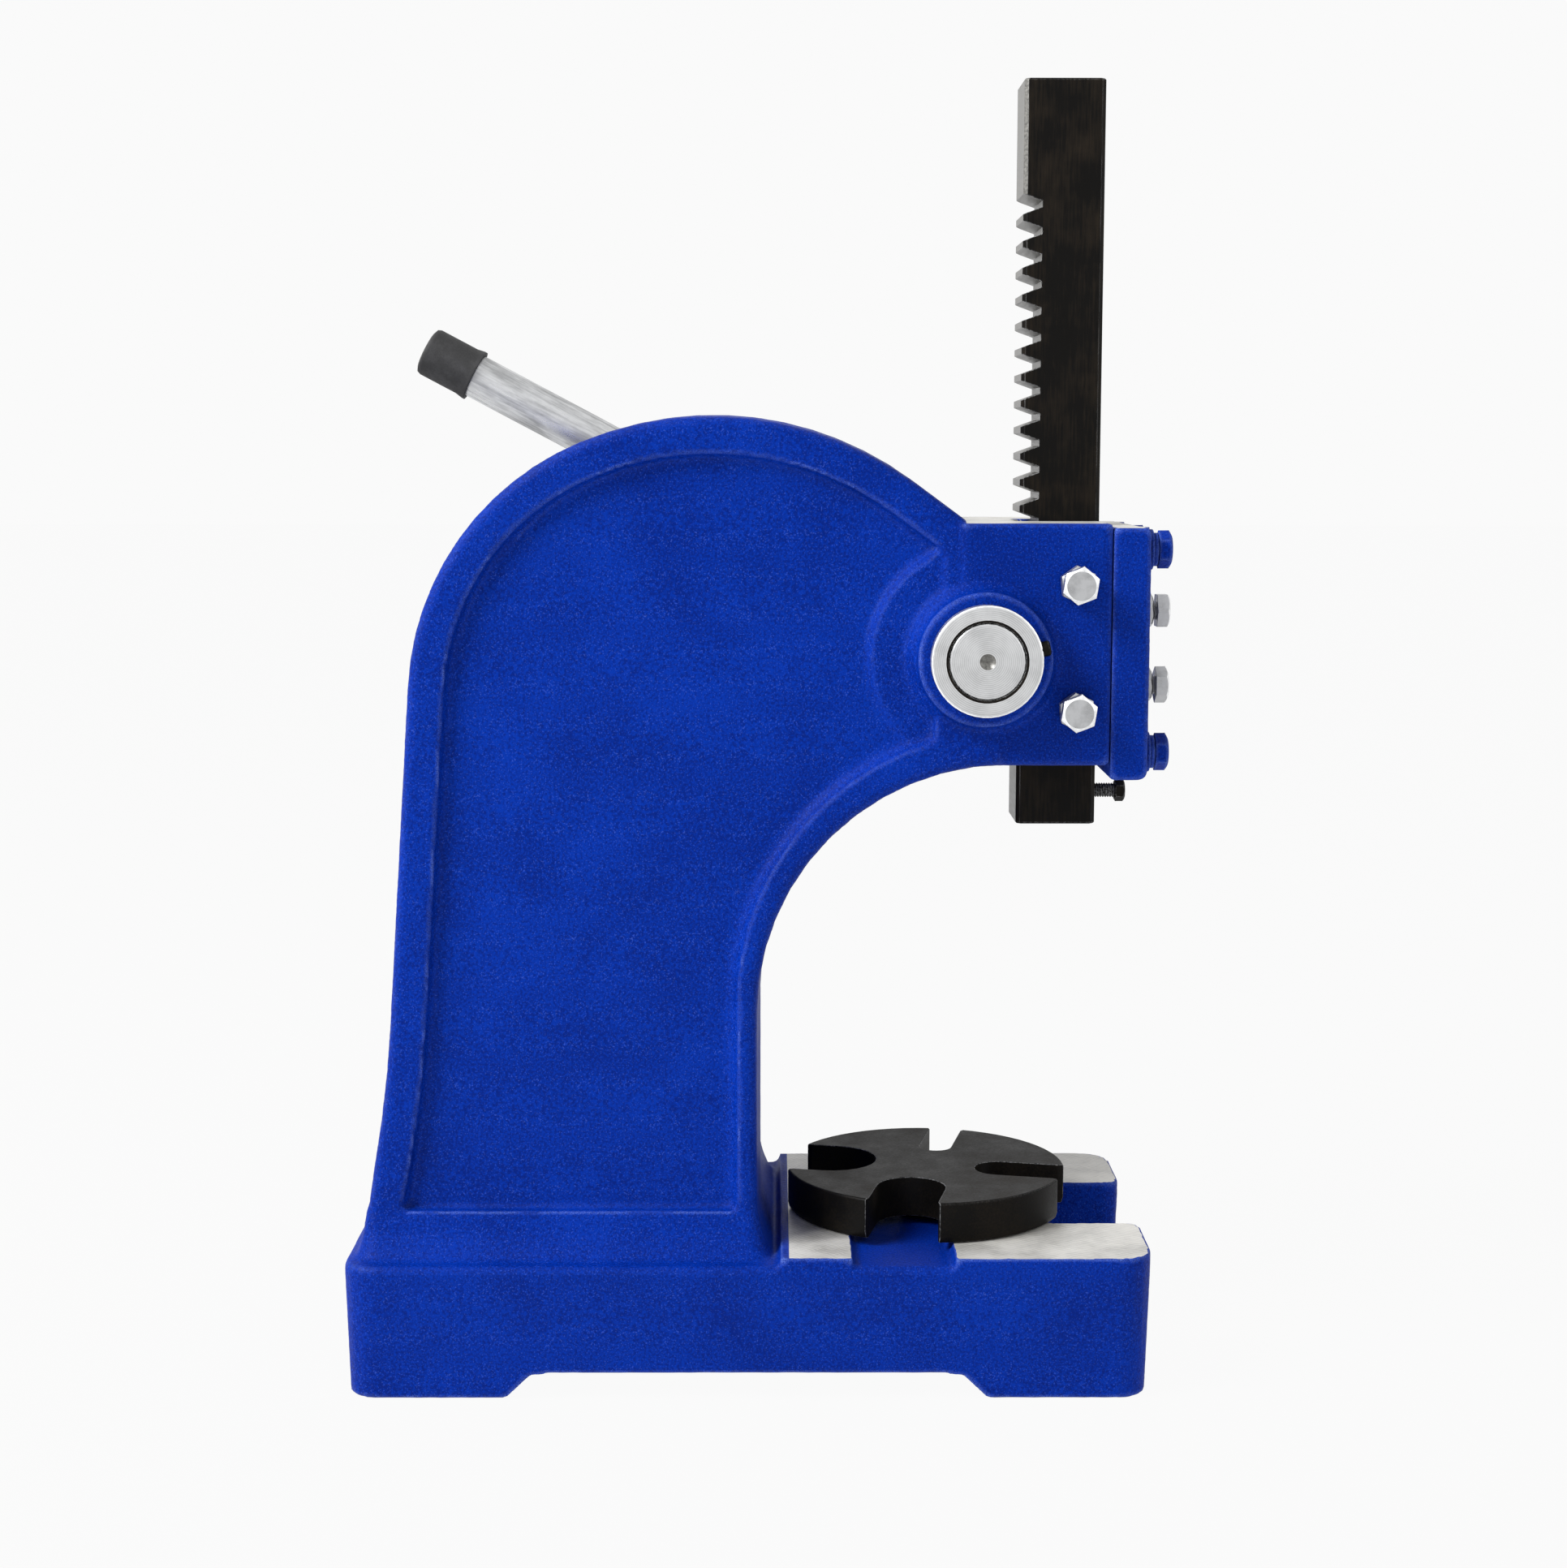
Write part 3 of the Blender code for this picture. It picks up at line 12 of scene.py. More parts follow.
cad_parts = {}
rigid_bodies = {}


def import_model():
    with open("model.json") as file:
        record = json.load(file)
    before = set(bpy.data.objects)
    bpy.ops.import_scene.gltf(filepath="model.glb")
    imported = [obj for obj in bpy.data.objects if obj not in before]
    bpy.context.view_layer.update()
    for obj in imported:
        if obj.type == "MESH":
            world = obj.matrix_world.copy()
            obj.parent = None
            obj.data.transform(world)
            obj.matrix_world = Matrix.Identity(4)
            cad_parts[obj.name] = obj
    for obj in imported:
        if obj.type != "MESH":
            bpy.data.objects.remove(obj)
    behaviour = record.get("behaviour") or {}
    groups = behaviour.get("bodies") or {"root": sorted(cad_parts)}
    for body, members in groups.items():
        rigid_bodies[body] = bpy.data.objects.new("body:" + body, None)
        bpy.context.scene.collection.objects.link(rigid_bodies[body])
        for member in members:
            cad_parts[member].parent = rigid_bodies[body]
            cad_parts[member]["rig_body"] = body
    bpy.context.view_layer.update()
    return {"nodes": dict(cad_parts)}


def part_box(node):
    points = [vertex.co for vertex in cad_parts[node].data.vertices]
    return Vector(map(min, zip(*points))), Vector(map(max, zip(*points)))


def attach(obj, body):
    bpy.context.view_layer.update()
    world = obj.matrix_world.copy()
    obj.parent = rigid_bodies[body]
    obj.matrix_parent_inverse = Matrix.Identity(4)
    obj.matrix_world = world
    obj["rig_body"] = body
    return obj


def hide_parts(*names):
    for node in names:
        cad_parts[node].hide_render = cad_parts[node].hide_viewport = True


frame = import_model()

bl_info = {
    "name": "Arbor press pieces",
    "version": (1, 0, 0),
    "blender": (4, 5, 0),
    "location": "View3D > Sidebar > Arbor press",
    "description": "Finished shapes and surfaces for the pieces of an arbor press",
    "category": "Object",
}

NODES = frame["nodes"]

# The casting: heights of its milled faces, ends of its head and base

PAD_TOP = 0.0574
HEAD_TOP = 0.3425
HEAD_REAR = 0.2102
HEAD_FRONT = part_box("cover_plate")[0].x - 0.0003
PLINTH_FRONT = 0.1420
RAM_GUIDE_HALF = 0.0165
RAM_GUIDE_REAR = 0.205
RAM_GUIDE_LOW = 0.24

# The wedge that eases the step from the hub's pad to the head's side

HEAD_SLOPE_START = (0.2050, 0.0503)
HEAD_SLOPE_END = (0.2106, 0.0534)
HEAD_SLOPE_DEPTH = 0.0035
HEAD_SLOPE_LOW = 0.2500
HEAD_SLOPE_BELOW_TOP = 0.0005

# The moulded skin, and the cutters that mill it flat again

SKIN_TRIANGLES = 185000
SKIN_ROUGHNESS = 0.00006
SKIN_SMOOTH_ANGLE = 40.0
MILL_DEPTH = 0.0001
CUTTER_SWEEP_CENTRE = (0.42, 0.30, 0.0)
CUTTER_HEIGHT = 0.003
CUTTER_WIDTH = 0.2
PAST_FRONT = 0.3
PAST_HEAD = (0.2, 0.36)

# The cover plate and its seam

COVER_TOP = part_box("cover_plate")[1].z - 0.0011
COVER_TOP_BAND = 0.0005
COVER_TRIANGLES = 40000
COVER_CELL_SHARE = 0.8
SEAM_CLOSED = 0.00022

# The ram, the shaft and the lever

RAM_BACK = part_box("ram")[0].x
RACK_DEPTH = 0.009
RACK_TOP = 0.472
PINION_CENTRE = (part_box("shaft_collar")[0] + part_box("shaft_collar")[1]) / 2
PINION_AXIS = (PINION_CENTRE.x, 0.0, PINION_CENTRE.z)
CENTRE_DRILL_RADIUS = 0.004
NEAR_FACE_NORMAL = -0.93
RIM_NORMAL = -0.35
RIM_DEPTH = 0.0015
BORE_DEPTH = 0.003
LEVER_RISE = math.radians(27.85)

# Bolts, nuts, washers and the clamp screw

BOLT_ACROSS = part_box("cover_bolt_1")[1].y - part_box("cover_bolt_1")[0].y
BOLT_HEAD = 0.0053
HEAD_CHAMFER_BAND = 0.002
NUT_BORE_CLEARANCE = 0.00015
WASHER_BORE_CLEARANCE = 0.0003
SPLIT_WIDTH = 0.0012
SPLIT_SLANT = math.radians(20)
CLAMP_HEAD = 0.0044
CLAMP_THREAD_RADIUS = 0.003
NUT_TURN = math.radians(14.0)
SIDE_HEAD_TURN = math.radians(-9.0)
FIRST_FRONT_HEAD_TURN = math.radians(30)

# Floor, lamps and camera

FLOOR_SIZE = 24.0
FLOOR_DROP = 0.0002
GLOW_SHARE = 0.99
LAMP_SIZE = 1.0
KEY_PLACE = (-1.5, -0.85, 1.75)
KEY_TARGET = (0.12, 0.0, 0.22)
FILL_PLACE = (1.5, -0.7, 0.9)
FILL_TARGET = (0.2, 0.0, 0.22)
SENSOR_WIDTH = 36.0

# Angles and distances shared by the pieces

TO_FRONT = Matrix.Rotation(math.pi / 2, 4, "Y")
TO_NEAR = Matrix.Rotation(math.pi / 2, 4, "X")
SMOOTH_ANGLE = 32.0
EDGE_ANGLE = 25.0
HEXAGON_EDGE_ANGLE = 16.0
WASHER_EDGE_ANGLE = 40.0
FLAT_ANGLE = math.radians(0.6)
SAME_POINT = 0.000002
ON_FACE = 0.00002
ON_RIM = 0.00008
SMALL_EDGE = 0.0002


def screen_colour(red, green, blue):
    """A colour given in 0 to 255 steps, as the shader reads it."""
    def open_up(step):
        share = step / 255
        return share / 12.92 if share <= 0.04045 else ((share + 0.055) / 1.055) ** 2.4

    return (open_up(red), open_up(green), open_up(blue))


# Settings a user would change

def colour_setting(name, description, default):
    """A colour with its picker."""
    return bpy.props.FloatVectorProperty(name=name, description=description, subtype="COLOR", size=3,
                                         min=0.0, max=1.0, default=default)


def length_setting(name, description, default):
    """A length in metres."""
    return bpy.props.FloatProperty(name=name, description=description, default=default, min=0.0,
                                   precision=5, subtype="DISTANCE", unit="LENGTH")


def share_setting(name, description, default):
    """A value from 0 to 1."""
    return bpy.props.FloatProperty(name=name, description=description, default=default, min=0.0,
                                   max=1.0, subtype="FACTOR")


def angle_setting(name, description, degrees):
    """An angle given in degrees."""
    return bpy.props.FloatProperty(name=name, description=description, default=math.radians(degrees),
                                   subtype="ANGLE")


class PressFinishes(bpy.types.PropertyGroup):
    """Colours and gloss of the press's surfaces."""
    paint: colour_setting("Paint", "Blue of the painted casting", screen_colour(0, 45, 150))
    paint_deep: colour_setting("Paint in hollows", "Darker blue where the paint lies thick",
                               screen_colour(0, 30, 116))
    # Painted shade: darker blue laid into the cast skin's concave corners and hollows.
    paint_shadow: colour_setting("Paint in corners", "Blue of the inner corners", screen_colour(0, 20, 84))
    # Pale blue for the paint's specks and for the painted highlights along edges.
    paint_specks_and_highlights: colour_setting("Paint on edges", "Pale blue glints along the edges",
                                screen_colour(120, 150, 240))
    paint_gloss: share_setting("Paint roughness", "Roughness of the hammered paint", 0.44)
    machined: colour_setting("Machined iron", "Milled pads and bare strips", screen_colour(216, 214, 208))
    oxide: colour_setting("Black oxide", "Oiled black finish of ram and plate", screen_colour(14, 13, 12))
    oxide_worn: colour_setting("Worn oxide", "Brownish tone where the oxide is thin",
                               screen_colour(38, 32, 25))
    zinc: colour_setting("Zinc", "Bright plating of the bolts", screen_colour(186, 187, 189))
    steel: colour_setting("Turned steel", "Shaft, collar and lever", screen_colour(208, 209, 210))
    # A lighter copy of the steel for turned chamfers: a painted highlight where they catch the light.
    chamfer: colour_setting("Bright chamfers", "Turned chamfers that catch the light",
                            screen_colour(244, 245, 246))
    rubber: colour_setting("Rubber", "Caps on the lever", screen_colour(30, 30, 31))


class PressDetails(bpy.types.PropertyGroup):
    """Small shapes that the finished pieces have."""
    # The pale glints along painted edges are painted highlights; this width also rounds the paint's shading
    # normals.
    cast_edge: length_setting("Cast edge", "Width of the pale glints on painted edges", 0.0018)
    skin_size: length_setting("Cast skin", "Cell size of the cast skin", 0.0013)
    cut_edge: length_setting("Machined edge", "Broken edge of machined pieces", 0.00035)
    rim_chamfer: length_setting("Rim chamfer", "Turned chamfer round the collar and the shaft's end", 0.0009)
    bore_chamfer: length_setting("Bore chamfer", "Turned chamfer at the collar's bore", 0.0006)
    head_edge: length_setting("Bolt edge", "Rounding of a bolt head's edges", 0.00018)
    thread_pitch: length_setting("Thread pitch", "Pitch of the bolts", 0.00125)
    fine_pitch: length_setting("Small thread pitch", "Pitch of the clamp screw", 0.0010)
    bolt_radius: length_setting("Bolt radius", "Thread radius of the bolts", 0.0040)
    peel_size: length_setting("Peel size", "Grain of the hammered paint", 0.0010)


class PressStage(bpy.types.PropertyGroup):
    """Camera, floor and light."""
    lens: bpy.props.FloatProperty(name="Lens", description="Focal length", default=58.94, unit="CAMERA")
    camera_x: length_setting("Camera along", "Camera place along the press", 0.1352)
    camera_back: length_setting("Camera distance", "How far the camera stands to the near side", 1.0458)
    camera_height: length_setting("Camera height", "Camera above the bench", 0.3700)
    camera_pitch: angle_setting("Pitch", "Camera looks down by", 7.39)
    camera_yaw: angle_setting("Yaw", "Camera turned to the front by", 0.26)
    camera_roll: angle_setting("Roll", "Camera tilted by", 0.07)
    backdrop: colour_setting("Backdrop", "Floor and background", screen_colour(250, 250, 250))
    ambient: share_setting("Ambient light", "Even light from all round", 0.46)
    key_power: bpy.props.FloatProperty(name="Key lamp", description="Lamp high above the near rear corner",
                                       default=80.0, unit="POWER")
    fill_power: bpy.props.FloatProperty(name="Fill lamp", description="Weak lamp past the front end",
                                        default=3.5, unit="POWER")


# Shader building

def start_surface(name, metallic=0.0):
    """A new material's tree, its shader, and the object coordinates that its patterns read."""
    material = bpy.data.materials.new(name)
    material.use_nodes = True
    tree = material.node_tree
    shader = tree.nodes["Principled BSDF"]
    shader.inputs["Metallic"].default_value = metallic
    place = tree.nodes.new("ShaderNodeTexCoord").outputs["Object"]
    return material, tree, shader, place


def stretched(tree, place, scale, centre=(0, 0, 0), turn=(0, 0, 0)):
    """Coordinates stretched, and moved to a centre or turned where that is given."""
    mapping = tree.nodes.new("ShaderNodeMapping")
    mapping.vector_type = "TEXTURE"
    mapping.inputs["Location"].default_value = centre
    mapping.inputs["Rotation"].default_value = turn
    mapping.inputs["Scale"].default_value = scale
    tree.links.new(place, mapping.inputs["Vector"])
    return mapping.outputs["Vector"]


def grain(tree, place, size, detail=3.0, roughness=0.6):
    """Noise whose lumps are about size across."""
    noise = tree.nodes.new("ShaderNodeTexNoise")
    noise.inputs["Scale"].default_value = 1 / size
    noise.inputs["Detail"].default_value = detail
    noise.inputs["Roughness"].default_value = roughness
    tree.links.new(place, noise.inputs["Vector"])
    return noise.outputs["Fac"]


def ranged(tree, value, low, high, to_low=0.0, to_high=1.0):
    """A value taken from one range to another, and held at its ends."""
    change = tree.nodes.new("ShaderNodeMapRange")
    for socket, number in zip(("From Min", "From Max", "To Min", "To Max"), (low, high, to_low, to_high)):
        change.inputs[socket].default_value = number
    tree.links.new(value, change.inputs["Value"])
    return change.outputs["Result"]


def sums(tree, operation, first, second):
    """One arithmetic step between two values, each a socket or a number."""
    step = tree.nodes.new("ShaderNodeMath")
    step.operation = operation
    for socket, value in zip(step.inputs, (first, second)):
        if isinstance(value, (int, float)):
            socket.default_value = value
        else:
            tree.links.new(value, socket)
    return step.outputs[0]


def weighed(tree, first, first_share, second, second_share):
    """The sum of two values, each times its share."""
    return sums(tree, "ADD", sums(tree, "MULTIPLY", first, first_share),
                sums(tree, "MULTIPLY", second, second_share))


def blended(tree, share, first, second):
    """Two colours mixed by a share; each is a socket or a plain colour."""
    mix = tree.nodes.new("ShaderNodeMix")
    mix.data_type = "RGBA"
    tree.links.new(share, mix.inputs[0])
    for socket, colour in ((mix.inputs[6], first), (mix.inputs[7], second)):
        if hasattr(colour, "node"):
            tree.links.new(colour, socket)
        else:
            socket.default_value = (*colour, 1.0)
    return mix.outputs[2]


def dimmed(colour, share):
    """A colour times a share, which may be over 1."""
    return tuple(part * share for part in colour)


def coloured(tree, shader, share, first, second):
    """The shader's colour, mixed by a share from two that are sockets or plain colours."""
    tree.links.new(blended(tree, share, first, second), shader.inputs["Base Color"])


def roughened(tree, shader, value, low, high, rough_low, rough_high):
    """The shader's roughness, which follows a value from one range to another."""
    tree.links.new(ranged(tree, value, low, high, rough_low, rough_high), shader.inputs["Roughness"])


def ringed(tree, place, direction, scale, distortion, detail):
    """Waves in rings round one axis through the place's origin."""
    wave = tree.nodes.new("ShaderNodeTexWave")
    wave.wave_type = "RINGS"
    wave.rings_direction = direction
    wave.inputs["Scale"].default_value = scale
    wave.inputs["Distortion"].default_value = distortion
    wave.inputs["Detail"].default_value = detail
    tree.links.new(place, wave.inputs["Vector"])
    return wave.outputs["Fac"]


def raised(tree, shader, height, depth, strength):
    """Bump of a given depth in metres on the shader's normal."""
    bump = tree.nodes.new("ShaderNodeBump")
    bump.inputs["Strength"].default_value = strength
    bump.inputs["Distance"].default_value = depth
    tree.links.new(height, bump.inputs["Height"])
    tree.links.new(bump.outputs["Normal"], shader.inputs["Normal"])
    return bump


def softened(tree, width, bump):
    """Lays a bump over normals that are rounded along the edges, and gives those normals."""
    rounded = tree.nodes.new("ShaderNodeBevel")
    rounded.samples = 4
    rounded.inputs["Radius"].default_value = width
    tree.links.new(rounded.outputs["Normal"], bump.inputs["Normal"])
    return rounded.outputs["Normal"]


def edge_share(tree, rounded_normal):
    """1 along an edge and 0 on open faces: how far the rounded normal leans from the surface's."""
    surface = tree.nodes.new("ShaderNodeNewGeometry")
    product = tree.nodes.new("ShaderNodeVectorMath")
    product.operation = "DOT_PRODUCT"
    tree.links.new(rounded_normal, product.inputs[0])
    tree.links.new(surface.outputs["Normal"], product.inputs[1])
    return ranged(tree, product.outputs["Value"], 0.995, 0.90)


# Surfaces

def hammered_paint(name, skin=False):
    """Blue paint with a fine peel, darker lumps, pale specks and painted highlights along the edges; on a
    skin, painted highlights on convex edges and painted shade in the hollows too.
    """
    look = bpy.context.scene.press_finishes
    peel_size = bpy.context.scene.press_details.peel_size
    material, tree, shader, place = start_surface(name)
    peel = grain(tree, place, peel_size, detail=2.0, roughness=0.55)
    fine = grain(tree, place, peel_size / 3.2, detail=1.0, roughness=0.5)
    cloud = grain(tree, place, 0.035, detail=2.0, roughness=0.5)
    shade = weighed(tree, peel, 0.7, cloud, 0.3)
    body = blended(tree, ranged(tree, shade, 0.40, 0.60), look.paint_deep, look.paint)
    bump = raised(tree, shader, sums(tree, "ADD", peel, sums(tree, "MULTIPLY", fine, 0.5)), 0.00035, 0.65)
    edge = edge_share(tree, softened(tree, bpy.context.scene.press_details.cast_edge, bump))
    if skin:
        # Painted highlight: convex places read from pointiness join the edge glints.
        pointed = tree.nodes.new("ShaderNodeNewGeometry").outputs["Pointiness"]
        edge = sums(tree, "MAXIMUM", edge, ranged(tree, pointed, 0.52, 0.60))
        # Painted shade: concave hollows read from pointiness are darkened towards the corner blue.
        painted_hollow_shade = ranged(tree, pointed, 0.42, 0.485, 1.0, 0.0)
        body = blended(tree, sums(tree, "MULTIPLY", painted_hollow_shade, 0.55), body, look.paint_shadow)
    # Painted highlight: pale glints along the edges, broken up by fine noise; the random pale specks are the
    # paint's own.
    painted_edge_glint = sums(tree, "MULTIPLY", edge, ranged(tree, fine, 0.40, 0.62, 0.12, 1.0))
    dots = grain(tree, place, peel_size / 2, detail=0.0, roughness=0.5)
    speck = ranged(tree, dots, 0.66, 0.80, 0.0, 0.12)
    share = sums(tree, "MAXIMUM", sums(tree, "MULTIPLY", painted_edge_glint, 0.62), speck)
    coloured(tree, shader, share, body, look.paint_specks_and_highlights)
    roughened(tree, shader, cloud, 0.3, 0.7, look.paint_gloss - 0.06, look.paint_gloss + 0.08)
    shader.inputs["Specular IOR Level"].default_value = 0.05
    return material


def milled_iron(name):
    """Pale milled cast iron with close curved cutter marks."""
    look = bpy.context.scene.press_finishes
    material, tree, shader, place = start_surface(name, 0.25)
    swept = stretched(tree, place, (1.0, 1.0, 1.0), centre=CUTTER_SWEEP_CENTRE)
    marks = ringed(tree, swept, "Z", 196.0, 5.0, 2.0)
    patch = grain(tree, place, 0.018)
    tone = weighed(tree, marks, 0.20, patch, 0.80)
    coloured(tree, shader, ranged(tree, tone, 0.28, 0.62), dimmed(look.machined, 0.52), look.machined)
    roughened(tree, shader, patch, 0.3, 0.7, 0.34, 0.52)
    softened(tree, 0.0005, raised(tree, shader, marks, 0.00002, 0.6))
    return material


def oiled_oxide(name, worn=1.0, drawn=False):
    """Black oxide, brown where worn and bare at the edges, with lines along a drawn piece."""
    look = bpy.context.scene.press_finishes
    material, tree, shader, place = start_surface(name, 0.04)
    long_way = (1.0, 1.0, 14.0) if drawn else (1.0, 1.0, 1.0)
    lines = grain(tree, stretched(tree, place, long_way), 0.0009)
    patch = grain(tree, place, 0.020)
    mottle = weighed(tree, patch, 0.6, lines, 0.4)
    body = blended(tree, ranged(tree, mottle, 0.46, 0.66, 0.0, 0.75 * worn), look.oxide, look.oxide_worn)
    edge = edge_share(tree, softened(tree, 0.00045, raised(tree, shader, lines, 0.00006, 0.7)))
    bare = sums(tree, "MULTIPLY", edge, ranged(tree, lines, 0.42, 0.60, 0.1, 0.8))
    coloured(tree, shader, bare, body, look.steel)
    shader.inputs["Specular IOR Level"].default_value = 0.07
    roughened(tree, shader, mottle, 0.35, 0.65, 0.36, 0.56)
    return material


def plated_zinc(name):
    """Bright zinc with a faint cloudy bloom."""
    look = bpy.context.scene.press_finishes
    material, tree, shader, place = start_surface(name, 0.85)
    bloom = grain(tree, place, 0.0045)
    fine = grain(tree, place, 0.0006, detail=2.0)
    coloured(tree, shader, ranged(tree, bloom, 0.35, 0.62), dimmed(look.zinc, 0.76), look.zinc)
    roughened(tree, shader, bloom, 0.3, 0.7, 0.24, 0.42)
    softened(tree, 0.0003, raised(tree, shader, fine, 0.00004, 0.6))
    return material


def chamfer_highlight(name):
    """Turned chamfer in a lighter copy of the steel: a painted highlight where the chamfer catches the light.
    """
    look = bpy.context.scene.press_finishes
    material, tree, shader, place = start_surface(name, 0.60)
    fine = grain(tree, place, 0.0015)
    coloured(tree, shader, ranged(tree, fine, 0.35, 0.60), dimmed(look.chamfer, 0.80), look.chamfer)
    roughened(tree, shader, fine, 0.3, 0.7, 0.26, 0.40)
    raised(tree, shader, fine, 0.00003, 0.5)
    return material


def lathe_steel(name):
    """Turned steel with fine rings round the pinion's axis."""
    look = bpy.context.scene.press_finishes
    material, tree, shader, place = start_surface(name, 0.85)
    rings = ringed(tree, stretched(tree, place, (1, 1, 1), centre=PINION_AXIS), "Y", 420.0, 0.8, 3.0)
    patch = grain(tree, place, 0.010)
    tone = weighed(tree, rings, 0.3, patch, 0.7)
    coloured(tree, shader, ranged(tree, tone, 0.30, 0.62), dimmed(look.steel, 0.72), look.steel)
    roughened(tree, shader, patch, 0.3, 0.7, 0.28, 0.42)
    softened(tree, 0.0003, raised(tree, shader, rings, 0.00003, 0.7))
    return material


def drawn_steel(name):
    """Bright drawn bar with long streaks and mottled grey patches along the lever."""
    look = bpy.context.scene.press_finishes
    material, tree, shader, place = start_surface(name, 0.80)
    slope = (0, LEVER_RISE, 0)
    streak = grain(tree, stretched(tree, place, (18.0, 1.0, 1.0), turn=slope), 0.0016, roughness=0.65)
    patch = grain(tree, stretched(tree, place, (3.0, 1.0, 1.0), turn=slope), 0.008, detail=4.0, roughness=0.7)
    tone = weighed(tree, streak, 0.45, patch, 0.55)
    coloured(tree, shader, ranged(tree, tone, 0.40, 0.58), dimmed(look.steel, 0.55), look.steel)
    roughened(tree, shader, tone, 0.38, 0.62, 0.50, 0.26)
    raised(tree, shader, streak, 0.00004, 0.6)
    return material


def bare_steel(name):
    """Freshly cut pale steel with fine planing lines across the rack."""
    look = bpy.context.scene.press_finishes
    material, tree, shader, place = start_surface(name, 0.60)
    lines = grain(tree, stretched(tree, place, (1.0, 16.0, 1.0)), 0.0010)
    coloured(tree, shader, ranged(tree, lines, 0.35, 0.62),
             dimmed(look.machined, 0.16), dimmed(look.machined, 0.32))
    roughened(tree, shader, lines, 0.3, 0.7, 0.30, 0.48)
    raised(tree, shader, lines, 0.00004, 0.6)
    return material


def matt_rubber(name):
    """Moulded black rubber with a fine matt grain."""
    look = bpy.context.scene.press_finishes
    material, tree, shader, place = start_surface(name)
    fine = grain(tree, place, 0.0007)
    dust = grain(tree, place, 0.006)
    coloured(tree, shader, ranged(tree, dust, 0.45, 0.70), look.rubber, dimmed(look.rubber, 2.1))
    roughened(tree, shader, fine, 0.3, 0.7, 0.62, 0.80)
    softened(tree, 0.0005, raised(tree, shader, fine, 0.00008, 0.6))
    return material


# Piece making

def deselect():
    """Leaves nothing selected, so that an operator acts only on what comes next."""
    bpy.ops.object.select_all(action="DESELECT")


def pick(piece):
    """Makes one piece the only selected and active one."""
    deselect()
    piece.hide_set(False)
    piece.select_set(True)
    bpy.context.view_layer.objects.active = piece


def edit_all():
    """Opens the picked piece's mesh with all of it selected."""
    bpy.ops.object.mode_set(mode="EDIT")
    bpy.ops.mesh.select_all(action="SELECT")


def select_none(piece, kind):
    """Picks a piece and leaves none of its corners or edges selected, to select some of that kind."""
    pick(piece)
    bpy.ops.object.mode_set(mode="EDIT")
    bpy.ops.mesh.select_mode(type=kind)
    bpy.ops.mesh.select_all(action="DESELECT")
    bpy.ops.object.mode_set(mode="OBJECT")


def copy_node(node, name):
    """A piece with a merged copy of a CAD node's mesh, its flat faces joined again."""
    piece = bpy.data.objects.new(name, NODES[node].data.copy())
    bpy.context.scene.collection.objects.link(piece)
    piece.data.materials.clear()
    pick(piece)
    if piece.data.has_custom_normals:
        bpy.ops.mesh.customdata_custom_splitnormals_clear()
    edit_all()
    bpy.ops.mesh.remove_doubles(threshold=SAME_POINT)
    bpy.ops.mesh.mark_sharp(clear=True)
    bpy.ops.mesh.dissolve_limited(angle_limit=FLAT_ANGLE, delimit=set())
    bpy.ops.object.mode_set(mode="OBJECT")
    return piece


def apply_modifiers(piece):
    """Applies every modifier of a piece, in their order."""
    pick(piece)
    for modifier in list(piece.modifiers):
        bpy.ops.object.modifier_apply(modifier=modifier.name)


def round_edges(piece, width, angle=EDGE_ANGLE):
    """Rounds each edge sharper than the angle, and smooths the rest."""
    pick(piece)
    bpy.ops.object.modifier_add(type="BEVEL")
    bevel = piece.modifiers[-1]
    bevel.width = width
    bevel.segments = 2
    bevel.limit_method = "ANGLE"
    bevel.angle_limit = math.radians(angle)
    apply_modifiers(piece)
    smooth(piece)


def smooth(piece, angle=SMOOTH_ANGLE):
    """Smooths the curved faces and keeps the large flat ones flat."""
    pick(piece)
    bpy.ops.object.shade_smooth_by_angle(angle=math.radians(angle))
    bpy.ops.object.modifier_add(type="WEIGHTED_NORMAL")
    piece.modifiers[-1].keep_sharp = True
    apply_modifiers(piece)


def combine(piece, tool, operation):
    """Adds, cuts or keeps what a tool shares with the piece, and removes the tool."""
    pick(piece)
    bpy.ops.object.modifier_add(type="BOOLEAN")
    step = piece.modifiers[-1]
    step.object = tool
    step.operation = operation
    step.solver = "EXACT"
    apply_modifiers(piece)
    bpy.data.objects.remove(tool)


def mould(piece, cell, triangles):
    """Softens every edge and gives the skin its cast unevenness, with about so many triangles."""
    pick(piece)
    bpy.ops.object.modifier_add(type="REMESH")
    skin = piece.modifiers[-1]
    skin.mode = "VOXEL"
    skin.voxel_size = cell
    bpy.ops.object.modifier_add(type="SMOOTH")
    soften = piece.modifiers[-1]
    soften.factor = 0.5
    soften.iterations = 1
    bpy.ops.object.modifier_add(type="TRIANGULATE")
    apply_modifiers(piece)
    thin = triangles / len(piece.data.polygons)
    if thin < 1.0:
        bpy.ops.object.modifier_add(type="DECIMATE")
        piece.modifiers[-1].ratio = thin
        apply_modifiers(piece)
    edit_all()
    bpy.ops.transform.vertex_random(offset=SKIN_ROUGHNESS, uniform=0.0, normal=1.0, seed=3)
    bpy.ops.object.mode_set(mode="OBJECT")


def mill(piece, along, up):
    """Cuts away what lies between two places along the press and between two heights."""
    deselect()
    bpy.ops.mesh.primitive_cube_add(size=1.0, location=(sum(along) / 2, 0, sum(up) / 2))
    cutter = bpy.context.active_object
    cutter.scale = (along[1] - along[0], CUTTER_WIDTH, up[1] - up[0])
    bpy.ops.object.transform_apply(location=True, rotation=True, scale=True)
    combine(piece, cutter, "DIFFERENCE")


